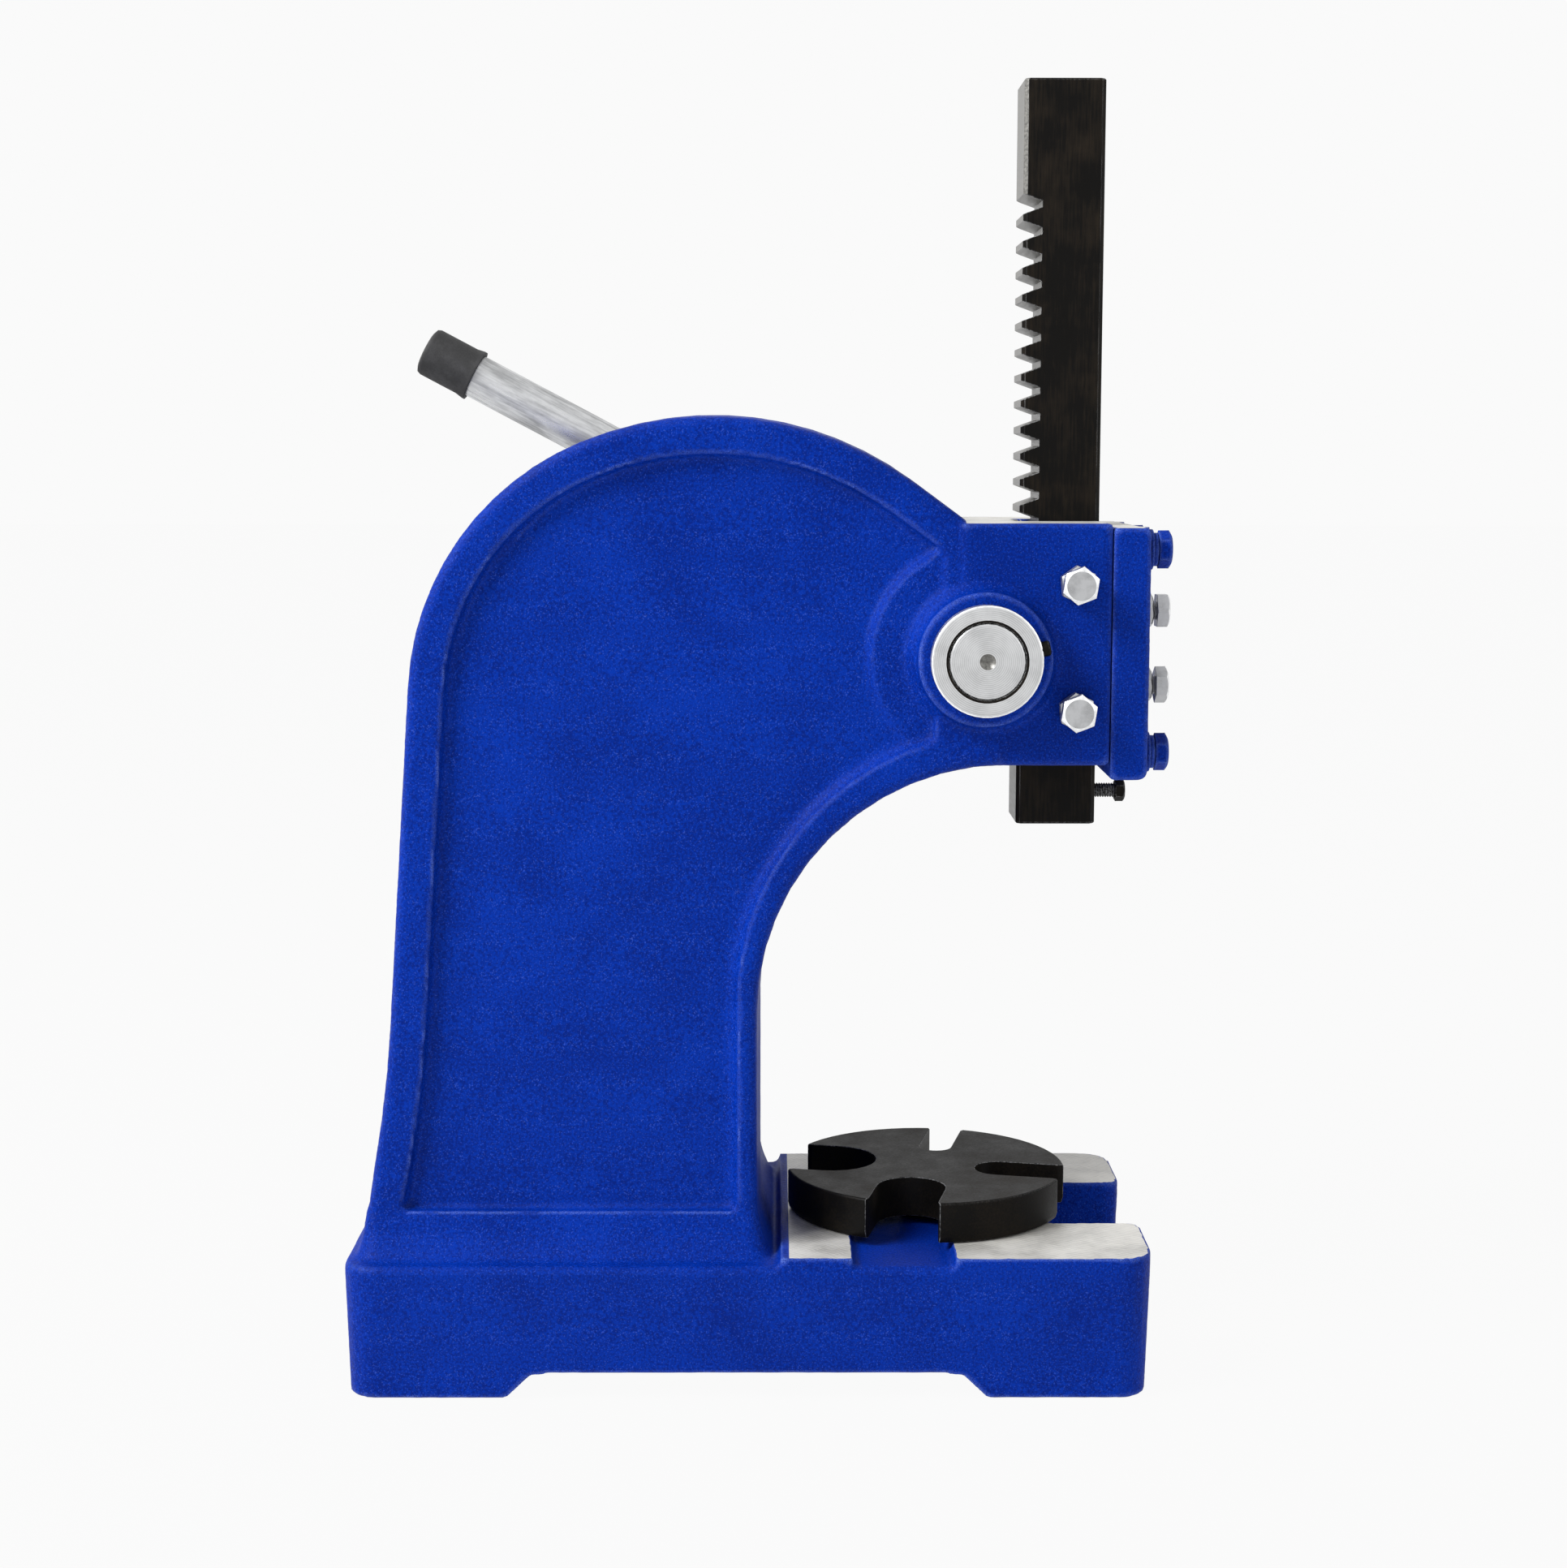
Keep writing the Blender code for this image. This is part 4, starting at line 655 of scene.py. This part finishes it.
def bar(name, sides, radius, length, middle=0.0):
    """A round or hexagon bar along Z about its middle."""
    deselect()
    bpy.ops.mesh.primitive_cylinder_add(vertices=sides, radius=radius, depth=length, location=(0, 0, middle))
    piece = bpy.context.active_object
    piece.name = name
    bpy.ops.object.transform_apply(location=True, rotation=True, scale=True)
    return piece


def outlined(name, profile):
    """A line through (radius, height) points, ready to be turned round Z."""
    mesh = bpy.data.meshes.new(name)
    piece = bpy.data.objects.new(name, mesh)
    bpy.context.scene.collection.objects.link(piece)
    mesh.from_pydata([(radius, 0, height) for radius, height in profile],
                     [(i, i + 1) for i in range(len(profile) - 1)], [])
    pick(piece)
    return piece


def turned(name, profile):
    """A solid spun round Z from (radius, height) points that start and end on the axis."""
    piece = outlined(name, profile)
    edit_all()
    bpy.ops.mesh.spin(steps=64, angle=math.tau, center=(0, 0, 0), axis=(0, 0, 1))
    bpy.ops.mesh.select_all(action="SELECT")
    bpy.ops.mesh.remove_doubles(threshold=SAME_POINT)
    bpy.ops.mesh.normals_make_consistent(inside=False)
    bpy.ops.object.mode_set(mode="OBJECT")
    return piece


def join(piece, other):
    """Makes another mesh a part of the piece."""
    pick(piece)
    other.select_set(True)
    bpy.ops.object.join()


def threaded_shank(name, radius, pitch, length):
    """A shank up from the origin along Z, with a real helical thread."""
    root = radius - 0.6 * pitch
    crest = radius - 0.02 * pitch
    thread = outlined(name, ((root, 0), (crest, 0.44 * pitch), (crest, 0.56 * pitch), (root, pitch)))
    bpy.ops.object.modifier_add(type="SCREW")
    helix = thread.modifiers[-1]
    helix.axis = "Z"
    helix.screw_offset = pitch
    helix.iterations = max(1, round(length / pitch) - 1)
    helix.steps = 32
    helix.render_steps = 32
    helix.use_merge_vertices = True
    helix.merge_threshold = SAME_POINT
    apply_modifiers(thread)
    edit_all()
    bpy.ops.mesh.normals_make_consistent(inside=False)
    bpy.ops.object.mode_set(mode="OBJECT")
    core = bar(name + "_core", 48, root + 0.1 * pitch, length, length / 2)
    smooth(core)
    join(thread, core)
    return thread


def hexagon_block(name, across, low, high, chamfer_low, edge, bore=0.0):
    """A hexagon block on Z, its corners turned off by a cone, with a bore where it is a nut."""
    corner = across / math.sqrt(3)
    block = bar(name, 6, corner, high - low, (low + high) / 2)
    wide = corner * 1.1
    flat = across / 2 * 0.86
    slope = 0.55
    past = 0.0005
    tilt = (wide - flat) * slope
    cone = [(0, low - past), (wide, low - past)]
    if chamfer_low:
        cone = [(0, low - past), (flat - past / slope, low - past), (wide, low + tilt)]
    cone += [(wide, high - tilt), (flat - past / slope, high + past), (0, high + past)]
    combine(block, turned("cone", cone), "INTERSECT")
    if bore:
        combine(block, bar("bore", 48, bore, (high - low) * 3, (low + high) / 2), "DIFFERENCE")
    round_edges(block, edge, HEXAGON_EDGE_ANGLE)
    return block


def set_down(piece, turn, point):
    """Turns a piece modelled on Z and moves it to its point, with its place kept in its mesh."""
    piece.matrix_world = Matrix.Translation(Vector(point)) @ turn
    pick(piece)
    bpy.ops.object.transform_apply(location=True, rotation=True, scale=True)


def hand_over(piece, node, material=None):
    """Lets a finished piece stand for its node, in the given material unless its faces have theirs."""
    if not piece.data.materials:
        piece.data.materials.append(material)
    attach(piece, NODES[node]["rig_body"])
    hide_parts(node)


def paint_faces(piece, materials, choose):
    """Gives each face the material that choose(centre, normal) numbers, where True stands for 1."""
    piece.data.materials.clear()
    for material in materials:
        piece.data.materials.append(material)
    for face in piece.data.polygons:
        face.material_index = int(choose(face.center, face.normal))


# One operator for the stage and one for each group of pieces

class PRESS_OT_stage(bpy.types.Operator):
    """Sets the floor, backdrop, lamps and camera"""
    bl_idname = "press.stage"
    bl_label = "Stage, lamps and camera"

    def execute(self, context):
        stage = context.scene.press_stage
        context.scene.view_settings.view_transform = "Standard"
        self.make_floor(stage)
        self.make_world(context, stage)
        self.make_lamp("key_lamp", KEY_PLACE, KEY_TARGET, stage.key_power)
        self.make_lamp("fill_lamp", FILL_PLACE, FILL_TARGET, stage.fill_power)
        self.make_camera(context, stage)
        return {"FINISHED"}

    def seen_directly(self, tree, light_path):
        """1 where the camera or a reflection looks."""
        return sums(tree, "MAXIMUM", light_path.outputs["Is Camera Ray"], light_path.outputs["Is Glossy Ray"])

    def make_floor(self, stage):
        """A floor just under the feet that shows the backdrop's colour and a trace of its shadow."""
        deselect()
        bpy.ops.mesh.primitive_plane_add(size=FLOOR_SIZE, location=(0, 0, -FLOOR_DROP))
        floor = bpy.context.active_object
        floor.name = "floor"
        bpy.ops.object.transform_apply(location=True)
        material, tree, shader, _ = start_surface("pale_floor")
        shader.inputs["Base Color"].default_value = (*stage.backdrop, 1.0)
        shader.inputs["Roughness"].default_value = 0.9
        glow = tree.nodes.new("ShaderNodeEmission")
        glow.inputs["Color"].default_value = (*stage.backdrop, 1.0)
        seen = self.seen_directly(tree, tree.nodes.new("ShaderNodeLightPath"))
        mix = tree.nodes.new("ShaderNodeMixShader")
        tree.links.new(sums(tree, "MULTIPLY", seen, GLOW_SHARE), mix.inputs["Fac"])
        tree.links.new(shader.outputs["BSDF"], mix.inputs[1])
        tree.links.new(glow.outputs["Emission"], mix.inputs[2])
        tree.links.new(mix.outputs["Shader"], tree.nodes["Material Output"].inputs["Surface"])
        floor.data.materials.append(material)

    def make_world(self, context, stage):
        """Even light on the press, behind which the backdrop's colour shows."""
        world = bpy.data.worlds.new("studio")
        context.scene.world = world
        world.use_nodes = True
        tree = world.node_tree
        even = tree.nodes["Background"]
        even.inputs["Color"].default_value = (1.0, 1.0, 1.0, 1.0)
        even.inputs["Strength"].default_value = stage.ambient
        shown = tree.nodes.new("ShaderNodeBackground")
        shown.inputs["Color"].default_value = (*stage.backdrop, 1.0)
        shown.inputs["Strength"].default_value = 1.0
        light_path = tree.nodes.new("ShaderNodeLightPath")
        direct = self.seen_directly(tree, light_path)
        seen = sums(tree, "MAXIMUM", direct, light_path.outputs["Is Transmission Ray"])
        mix = tree.nodes.new("ShaderNodeMixShader")
        tree.links.new(seen, mix.inputs["Fac"])
        tree.links.new(even.outputs["Background"], mix.inputs[1])
        tree.links.new(shown.outputs["Background"], mix.inputs[2])
        tree.links.new(mix.outputs["Shader"], tree.nodes["World Output"].inputs["Surface"])

    def make_lamp(self, name, place, target, power):
        """A square lamp at its place, turned to its target."""
        deselect()
        bpy.ops.object.light_add(type="AREA", location=place)
        lamp = bpy.context.active_object
        lamp.name = name
        lamp.data.size = LAMP_SIZE
        lamp.data.energy = power
        lamp.rotation_euler = (Vector(target) - Vector(place)).to_track_quat("-Z", "Y").to_euler()

    def make_camera(self, context, stage):
        """The camera of the photograph, turned by its pitch, yaw and roll."""
        deselect()
        bpy.ops.object.camera_add(location=(stage.camera_x, -stage.camera_back, stage.camera_height))
        camera = bpy.context.active_object
        camera.name = "photo_camera"
        camera.data.lens = stage.lens
        camera.data.sensor_width = SENSOR_WIDTH
        pitch = stage.camera_pitch
        yaw = stage.camera_yaw
        forward = Vector((math.sin(yaw) * math.cos(pitch), math.cos(yaw) * math.cos(pitch), -math.sin(pitch)))
        level = Vector((math.cos(yaw), -math.sin(yaw), 0.0))
        upright = level.cross(forward)
        roll = stage.camera_roll
        right = math.cos(roll) * level + math.sin(roll) * upright
        up = -math.sin(roll) * level + math.cos(roll) * upright
        turn = Matrix((right, up, -forward)).transposed().to_4x4()
        camera.matrix_world = Matrix.Translation(camera.location) @ turn
        context.scene.camera = camera


class PRESS_OT_casting(bpy.types.Operator):
    """Makes the cast frame with a moulded skin, painted sides and milled faces"""
    bl_idname = "press.casting"
    bl_label = "Cast frame"

    def execute(self, context):
        detail = context.scene.press_details
        casting = copy_node("frame_casting", "cast_frame")
        for side in (-1, 1):
            self.slope_head(casting, side)
        mould(casting, detail.skin_size, SKIN_TRIANGLES)
        for start, top in ((PLINTH_FRONT, PAD_TOP), (HEAD_REAR, HEAD_TOP)):
            mill(casting, (start, PAST_FRONT), (top - MILL_DEPTH, top + CUTTER_HEIGHT))
        mill(casting, (HEAD_FRONT - MILL_DEPTH, HEAD_FRONT + CUTTER_HEIGHT), PAST_HEAD)
        smooth(casting, SKIN_SMOOTH_ANGLE)
        paint = hammered_paint("casting_paint", skin=True)
        paint_faces(casting, (paint, milled_iron("casting_milled")), self.is_milled)
        hand_over(casting, "frame_casting")
        return {"FINISHED"}

    def is_milled(self, centre, normal):
        """True on the pads, on the head's top and in the ram's guide."""
        level = normal.z > 0.999
        pad = level and abs(centre.z - PAD_TOP + MILL_DEPTH) < ON_FACE
        head = level and abs(centre.z - HEAD_TOP + MILL_DEPTH) < ON_FACE
        across = abs(centre.y) < RAM_GUIDE_HALF and centre.x > RAM_GUIDE_REAR
        return pad or head or (across and RAM_GUIDE_LOW < centre.z < HEAD_TOP)

    def slope_head(self, casting, side):
        """Slopes the step from the hub's pad up to the side of the head."""
        start = Vector((HEAD_SLOPE_START[0], side * HEAD_SLOPE_START[1], 0))
        end = Vector((HEAD_SLOPE_END[0], side * HEAD_SLOPE_END[1], 0))
        along = (end - start).normalized()
        inward = Vector((along.y, -along.x, 0)) * side
        middle = (start + end) / 2 + inward * HEAD_SLOPE_DEPTH / 2
        middle.z = (HEAD_SLOPE_LOW + HEAD_TOP) / 2
        deselect()
        bpy.ops.mesh.primitive_cube_add(size=1.0, location=(0, 0, 0))
        wedge = bpy.context.active_object
        turn = Matrix.Rotation(math.atan2(along.y, along.x), 4, "Z")
        height = HEAD_TOP - HEAD_SLOPE_LOW - HEAD_SLOPE_BELOW_TOP
        size = ((end - start).length, HEAD_SLOPE_DEPTH, height)
        set_down(wedge, turn @ Matrix.Diagonal((*size, 1.0)), middle)
        combine(casting, wedge, "UNION")


class PRESS_OT_cover(bpy.types.Operator):
    """Makes the head's cover plate with a moulded skin and a bare upper edge"""
    bl_idname = "press.cover"
    bl_label = "Cover plate"

    def execute(self, context):
        detail = context.scene.press_details
        cover = copy_node("cover_plate", "head_cover")
        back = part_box("cover_plate")[0].x
        self.close_seam(cover, back)
        back -= SEAM_CLOSED
        mould(cover, detail.skin_size * COVER_CELL_SHARE, COVER_TRIANGLES)
        mill(cover, (back - CUTTER_HEIGHT, PAST_FRONT), (COVER_TOP - MILL_DEPTH, COVER_TOP + CUTTER_HEIGHT))
        mill(cover, (back - CUTTER_HEIGHT, back + MILL_DEPTH), PAST_HEAD)
        smooth(cover, SKIN_SMOOTH_ANGLE)
        paint = hammered_paint("cover_paint_coat", skin=True)
        paint_faces(cover, (paint, milled_iron("cover_milled")),
                    lambda centre, normal: normal.z > 0.99 and centre.z > COVER_TOP - COVER_TOP_BAND)
        hand_over(cover, "cover_plate")
        return {"FINISHED"}

    def close_seam(self, cover, back):
        """Draws the plate's rear face up to the head, as the paint does over the joint."""
        select_none(cover, "VERT")
        for point in cover.data.vertices:
            point.select = point.co.x < back + ON_FACE / 2
        bpy.ops.object.mode_set(mode="EDIT")
        bpy.ops.transform.translate(value=(-SEAM_CLOSED - MILL_DEPTH, 0, 0))
        bpy.ops.object.mode_set(mode="OBJECT")


class PRESS_OT_ram(bpy.types.Operator):
    """Makes the toothed ram, black on its sides and bare on the cut rack"""
    bl_idname = "press.ram"
    bl_label = "Ram"

    def execute(self, context):
        detail = context.scene.press_details
        ram = copy_node("ram", "toothed_ram")
        round_edges(ram, detail.cut_edge)
        oxide = oiled_oxide("ram_oxide_coat", drawn=True)
        paint_faces(ram, (oxide, bare_steel("rack_cut_steel")), self.is_cut)
        hand_over(ram, "ram")
        return {"FINISHED"}

    def is_cut(self, centre, normal):
        """True on the rack's side of the ram, but not on its black broken edges beside the teeth."""
        rear = centre.x < RAM_BACK + RACK_DEPTH and abs(normal.y) < 0.9
        broken_edge = abs(normal.y) > 0.3 and centre.z < RACK_TOP
        return rear and not broken_edge


class PRESS_OT_shaft(bpy.types.Operator):
    """Makes the pinion shaft, its collar and the collar's set screw"""
    bl_idname = "press.shaft"
    bl_label = "Pinion shaft"

    def execute(self, context):
        self.make_turned("pinion_shaft", "toothed_shaft", context.scene.press_details)
        self.make_turned("shaft_collar", "stop_collar", context.scene.press_details)
        screw = copy_node("collar_set_screw", "collar_screw")
        round_edges(screw, SMALL_EDGE)
        hand_over(screw, "collar_set_screw", oiled_oxide("collar_screw_oxide", worn=1.3))
        return {"FINISHED"}

    def make_turned(self, node, name, detail):
        """The shaft or its collar: turned steel, a chamfered rim lighter as a painted highlight, the bore's
        chamfer and the drilled centre darker as painted shade.
        """
        collar = node == "shaft_collar"
        piece = copy_node(node, name)
        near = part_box(node)[0].y
        rims = self.rims(piece, near)
        self.chamfer(piece, near, rims[-1], detail.rim_chamfer)
        if collar:
            self.chamfer(piece, near, rims[0], detail.bore_chamfer)
        round_edges(piece, detail.cut_edge / 2)
        middle = (rims[0] + rims[-1]) / 2

        def choose(spot, normal):
            outer = self.reach(spot) > middle
            sloped = normal.y > NEAR_FACE_NORMAL
            # Painted shade: the collar's bore chamfer takes the dark oxide.
            if collar and sloped and not outer and spot.y < near + BORE_DEPTH:
                return 2
            # Painted shade: the drilled centre's cone takes the darker cut steel.
            if sloped and self.reach(spot) < CENTRE_DRILL_RADIUS:
                return 3
            # Painted highlight: the outer rim's chamfer takes the lighter steel.
            rim = outer and sloped and normal.y < RIM_NORMAL and spot.y < near + RIM_DEPTH
            return 1 if rim else 0

        finishes = (lathe_steel(name + "_steel"), chamfer_highlight(name + "_chamfer"),
                    oiled_oxide(name + "_bore"), bare_steel(name + "_drilled"))
        paint_faces(piece, finishes, choose)
        hand_over(piece, node)

    def reach(self, spot):
        """How far a point lies from the pinion's axis."""
        return math.hypot(spot.x - PINION_AXIS[0], spot.z - PINION_AXIS[2])

    def rims(self, piece, near):
        """Radii of the round edges that lie on the near face, from the smallest."""
        radii = {round(self.reach(point.co), 4)
                 for point in piece.data.vertices if abs(point.co.y - near) < ON_FACE}
        return sorted(radius for radius in radii if radius > CENTRE_DRILL_RADIUS)

    def chamfer(self, piece, near, radius, width):
        """Turns a chamfer on the round edge of a radius on the near face."""
        select_none(piece, "EDGE")
        points = piece.data.vertices

        def on_rim(number):
            spot = points[number].co
            return abs(spot.y - near) < ON_FACE and abs(self.reach(spot) - radius) < ON_RIM

        for edge in piece.data.edges:
            edge.select = all(on_rim(number) for number in edge.vertices)
        bpy.ops.object.mode_set(mode="EDIT")
        bpy.ops.mesh.bevel(offset=width, segments=1, affect="EDGES")
        bpy.ops.object.mode_set(mode="OBJECT")


class PRESS_OT_lever(bpy.types.Operator):
    """Makes the lever bar and its two rubber caps"""
    bl_idname = "press.lever"
    bl_label = "Lever"

    def execute(self, context):
        lever = copy_node("lever_rod", "lever_bar")
        smooth(lever)
        hand_over(lever, "lever_rod", drawn_steel("lever_drawn_steel"))
        for end in ("upper", "lower"):
            cap = copy_node("lever_cap_" + end, "rubber_cap_" + end)
            smooth(cap)
            hand_over(cap, "lever_cap_" + end, matt_rubber("cap_rubber_" + end))
        return {"FINISHED"}


class PRESS_OT_plate(bpy.types.Operator):
    """Makes the slotted arbor plate"""
    bl_idname = "press.plate"
    bl_label = "Arbor plate"

    def execute(self, context):
        detail = context.scene.press_details
        plate = copy_node("arbor_plate", "slotted_plate")
        round_edges(plate, detail.cut_edge)
        hand_over(plate, "arbor_plate", oiled_oxide("plate_oxide_coat", worn=0.7))
        return {"FINISHED"}


class PRESS_OT_bolts(bpy.types.Operator):
    """Makes the cover bolts, the adjusting bolts and the lock nuts"""
    bl_idname = "press.bolts"
    bl_label = "Bolts and nuts"

    def execute(self, context):
        detail = context.scene.press_details
        for number in range(1, 5):
            self.make_bolt(detail, f"cover_bolt_{number}", "X", hammered_paint(f"cover_bolt_paint_{number}"))
        for number in range(1, 3):
            for side, axis in (("front", "X"), ("side", "-Y")):
                coat = plated_zinc(f"{side}_zinc_{number}")
                self.make_bolt(detail, f"{side}_adjuster_{number}", axis, coat)
                self.make_nut(detail, f"{side}_lock_nut_{number}", axis, coat)
        return {"FINISHED"}

    def seat(self, node, axis):
        """The node's start on its axis, its length, and the turn that takes Z to the axis."""
        low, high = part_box(node)
        middle = (low + high) / 2
        if axis == "X":
            return Vector((low.x, middle.y, middle.z)), high.x - low.x, TO_FRONT
        return Vector((middle.x, high.y, middle.z)), high.y - low.y, TO_NEAR

    def make_bolt(self, detail, node, axis, material):
        """A bolt with its hexagon head outermost and a threaded shank."""
        start, length, turn = self.seat(node, axis)
        under_head = length - BOLT_HEAD
        bolt = hexagon_block(node + "_piece", BOLT_ACROSS, under_head, length, False, detail.head_edge)
        join(bolt, threaded_shank(node + "_thread", detail.bolt_radius, detail.thread_pitch,
                                  length - BOLT_HEAD / 2))
        if "adjuster" in node:
            # Painted highlight on the adjuster heads' chamfers.
            self.highlight_head_chamfer(bolt, node, material, length)
        screwed = FIRST_FRONT_HEAD_TURN if node == "front_adjuster_1" else 0.0
        set_down(bolt, turn @ Matrix.Rotation(self.corner_turn(axis) + screwed, 4, "Z"), start)
        hand_over(bolt, node, material)

    def highlight_head_chamfer(self, bolt, node, material, length):
        """The turned chamfer round the head's face gets a lighter copy of the zinc, a painted highlight."""
        paint_faces(bolt, (material, chamfer_highlight(node + "_chamfer")),
                    lambda centre, normal: 0.35 < normal.z < 0.985 and centre.z > length - HEAD_CHAMFER_BAND)

    def make_nut(self, detail, node, axis, material):
        """A lock nut, turned a little from its bolt's head."""
        start, length, turn = self.seat(node, axis)
        bore = detail.bolt_radius + NUT_BORE_CLEARANCE
        nut = hexagon_block(node + "_piece", BOLT_ACROSS, 0.0, length, True, detail.head_edge, bore)
        set_down(nut, turn @ Matrix.Rotation(self.corner_turn(axis) + NUT_TURN, 4, "Z"), start)
        hand_over(nut, node, material)

    def corner_turn(self, axis):
        """The turn of a hexagon about its bolt, which brings a corner up in front and near it at the side."""
        return math.pi / 2 if axis == "X" else SIDE_HEAD_TURN


class PRESS_OT_washers(bpy.types.Operator):
    """Makes the flat washers and split spring washers"""
    bl_idname = "press.washers"
    bl_label = "Washers"

    def execute(self, context):
        detail = context.scene.press_details
        for number in range(1, 5):
            coat = hammered_paint(f"cover_washer_paint_{number}")
            self.make_washer(detail, f"cover_washer_{number}", coat, False)
            self.make_washer(detail, f"cover_spring_washer_{number}", coat, True)
        for number in range(1, 3):
            coat = plated_zinc(f"front_washer_zinc_{number}")
            self.make_washer(detail, f"front_washer_{number}", coat, False)
        return {"FINISHED"}

    def make_washer(self, detail, node, material, split):
        """A round washer, which has a slanted slit where it is split."""
        low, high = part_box(node)
        radius = (high.z - low.z) / 2
        thickness = high.x - low.x
        washer = bar(node + "_piece", 96, radius, thickness, thickness / 2)
        bore = bar("bore", 64, detail.bolt_radius + WASHER_BORE_CLEARANCE, thickness * 3)
        combine(washer, bore, "DIFFERENCE")
        if split:
            deselect()
            bpy.ops.mesh.primitive_cube_add(size=1.0, location=(0, 0, 0))
            slit = bpy.context.active_object
            slant = Matrix.Rotation(SPLIT_SLANT, 4, "Y")
            size = Matrix.Diagonal((SPLIT_WIDTH, radius, thickness * 6, 1.0))
            slit.matrix_world = slant @ Matrix.Translation((0, radius, 0)) @ size
            combine(washer, slit, "DIFFERENCE")
        round_edges(washer, SMALL_EDGE, WASHER_EDGE_ANGLE)
        set_down(washer, TO_FRONT, (low.x, (low.y + high.y) / 2, (low.z + high.z) / 2))
        hand_over(washer, node, material)


class PRESS_OT_gibs(bpy.types.Operator):
    """Makes the two gibs that guide the ram"""
    bl_idname = "press.gibs"
    bl_label = "Gibs"

    def execute(self, context):
        for node in ("front_gib", "side_gib"):
            gib = copy_node(node, node + "_bar")
            round_edges(gib, SMALL_EDGE)
            hand_over(gib, node, bare_steel(node + "_steel"))
        return {"FINISHED"}


class PRESS_OT_clamp_screw(bpy.types.Operator):
    """Makes the black screw that clamps a tool in the ram"""
    bl_idname = "press.clamp_screw"
    bl_label = "Clamp screw"

    def execute(self, context):
        detail = context.scene.press_details
        node = "tool_clamp_screw"
        low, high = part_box(node)
        across = high.y - low.y
        length = high.x - low.x
        screw = hexagon_block("clamp_screw", across, length - CLAMP_HEAD, length, True, detail.head_edge)
        join(screw, threaded_shank("clamp_thread", CLAMP_THREAD_RADIUS, detail.fine_pitch,
                                   length - CLAMP_HEAD / 2))
        corners_upright = Matrix.Rotation(math.pi / 2, 4, "Z")
        set_down(screw, TO_FRONT @ corners_upright, (low.x, 0.0, (low.z + high.z) / 2))
        hand_over(screw, node, oiled_oxide("clamp_screw_oxide", worn=0.8))
        return {"FINISHED"}


class PRESS_PT_sidebar(bpy.types.Panel):
    """Lists the press's operators and settings in the sidebar"""
    bl_idname = "PRESS_PT_sidebar"
    bl_label = "Arbor press"
    bl_space_type = "VIEW_3D"
    bl_region_type = "UI"
    bl_category = "Arbor press"

    def draw(self, context):
        for operator in OPERATORS:
            self.layout.operator(operator.bl_idname)
        for group in (context.scene.press_finishes, context.scene.press_details, context.scene.press_stage):
            box = self.layout.box()
            for setting in group.bl_rna.properties:
                if setting.identifier not in ("rna_type", "name"):
                    box.prop(group, setting.identifier)


GROUPS = {"press_finishes": PressFinishes, "press_details": PressDetails, "press_stage": PressStage}
OPERATORS = (PRESS_OT_stage, PRESS_OT_casting, PRESS_OT_cover, PRESS_OT_ram, PRESS_OT_shaft, PRESS_OT_lever,
             PRESS_OT_plate, PRESS_OT_bolts, PRESS_OT_washers, PRESS_OT_gibs, PRESS_OT_clamp_screw)


def register():
    """Registers the settings, the operators and the panel."""
    for group in GROUPS.values():
        bpy.utils.register_class(group)
    for operator in OPERATORS:
        bpy.utils.register_class(operator)
    bpy.utils.register_class(PRESS_PT_sidebar)
    for name, group in GROUPS.items():
        setattr(bpy.types.Scene, name, bpy.props.PointerProperty(type=group))


def unregister():
    """Takes them away again, the last first."""
    for name in GROUPS:
        delattr(bpy.types.Scene, name)
    bpy.utils.unregister_class(PRESS_PT_sidebar)
    for operator in reversed(OPERATORS):
        bpy.utils.unregister_class(operator)
    for group in GROUPS.values():
        bpy.utils.unregister_class(group)


def main():
    """Dresses the press, piece by piece."""
    register()
    bpy.ops.press.stage()
    bpy.ops.press.casting()
    bpy.ops.press.cover()
    bpy.ops.press.ram()
    bpy.ops.press.shaft()
    bpy.ops.press.lever()
    bpy.ops.press.plate()
    bpy.ops.press.bolts()
    bpy.ops.press.washers()
    bpy.ops.press.gibs()
    bpy.ops.press.clamp_screw()


if __name__ == "__main__":
    main()
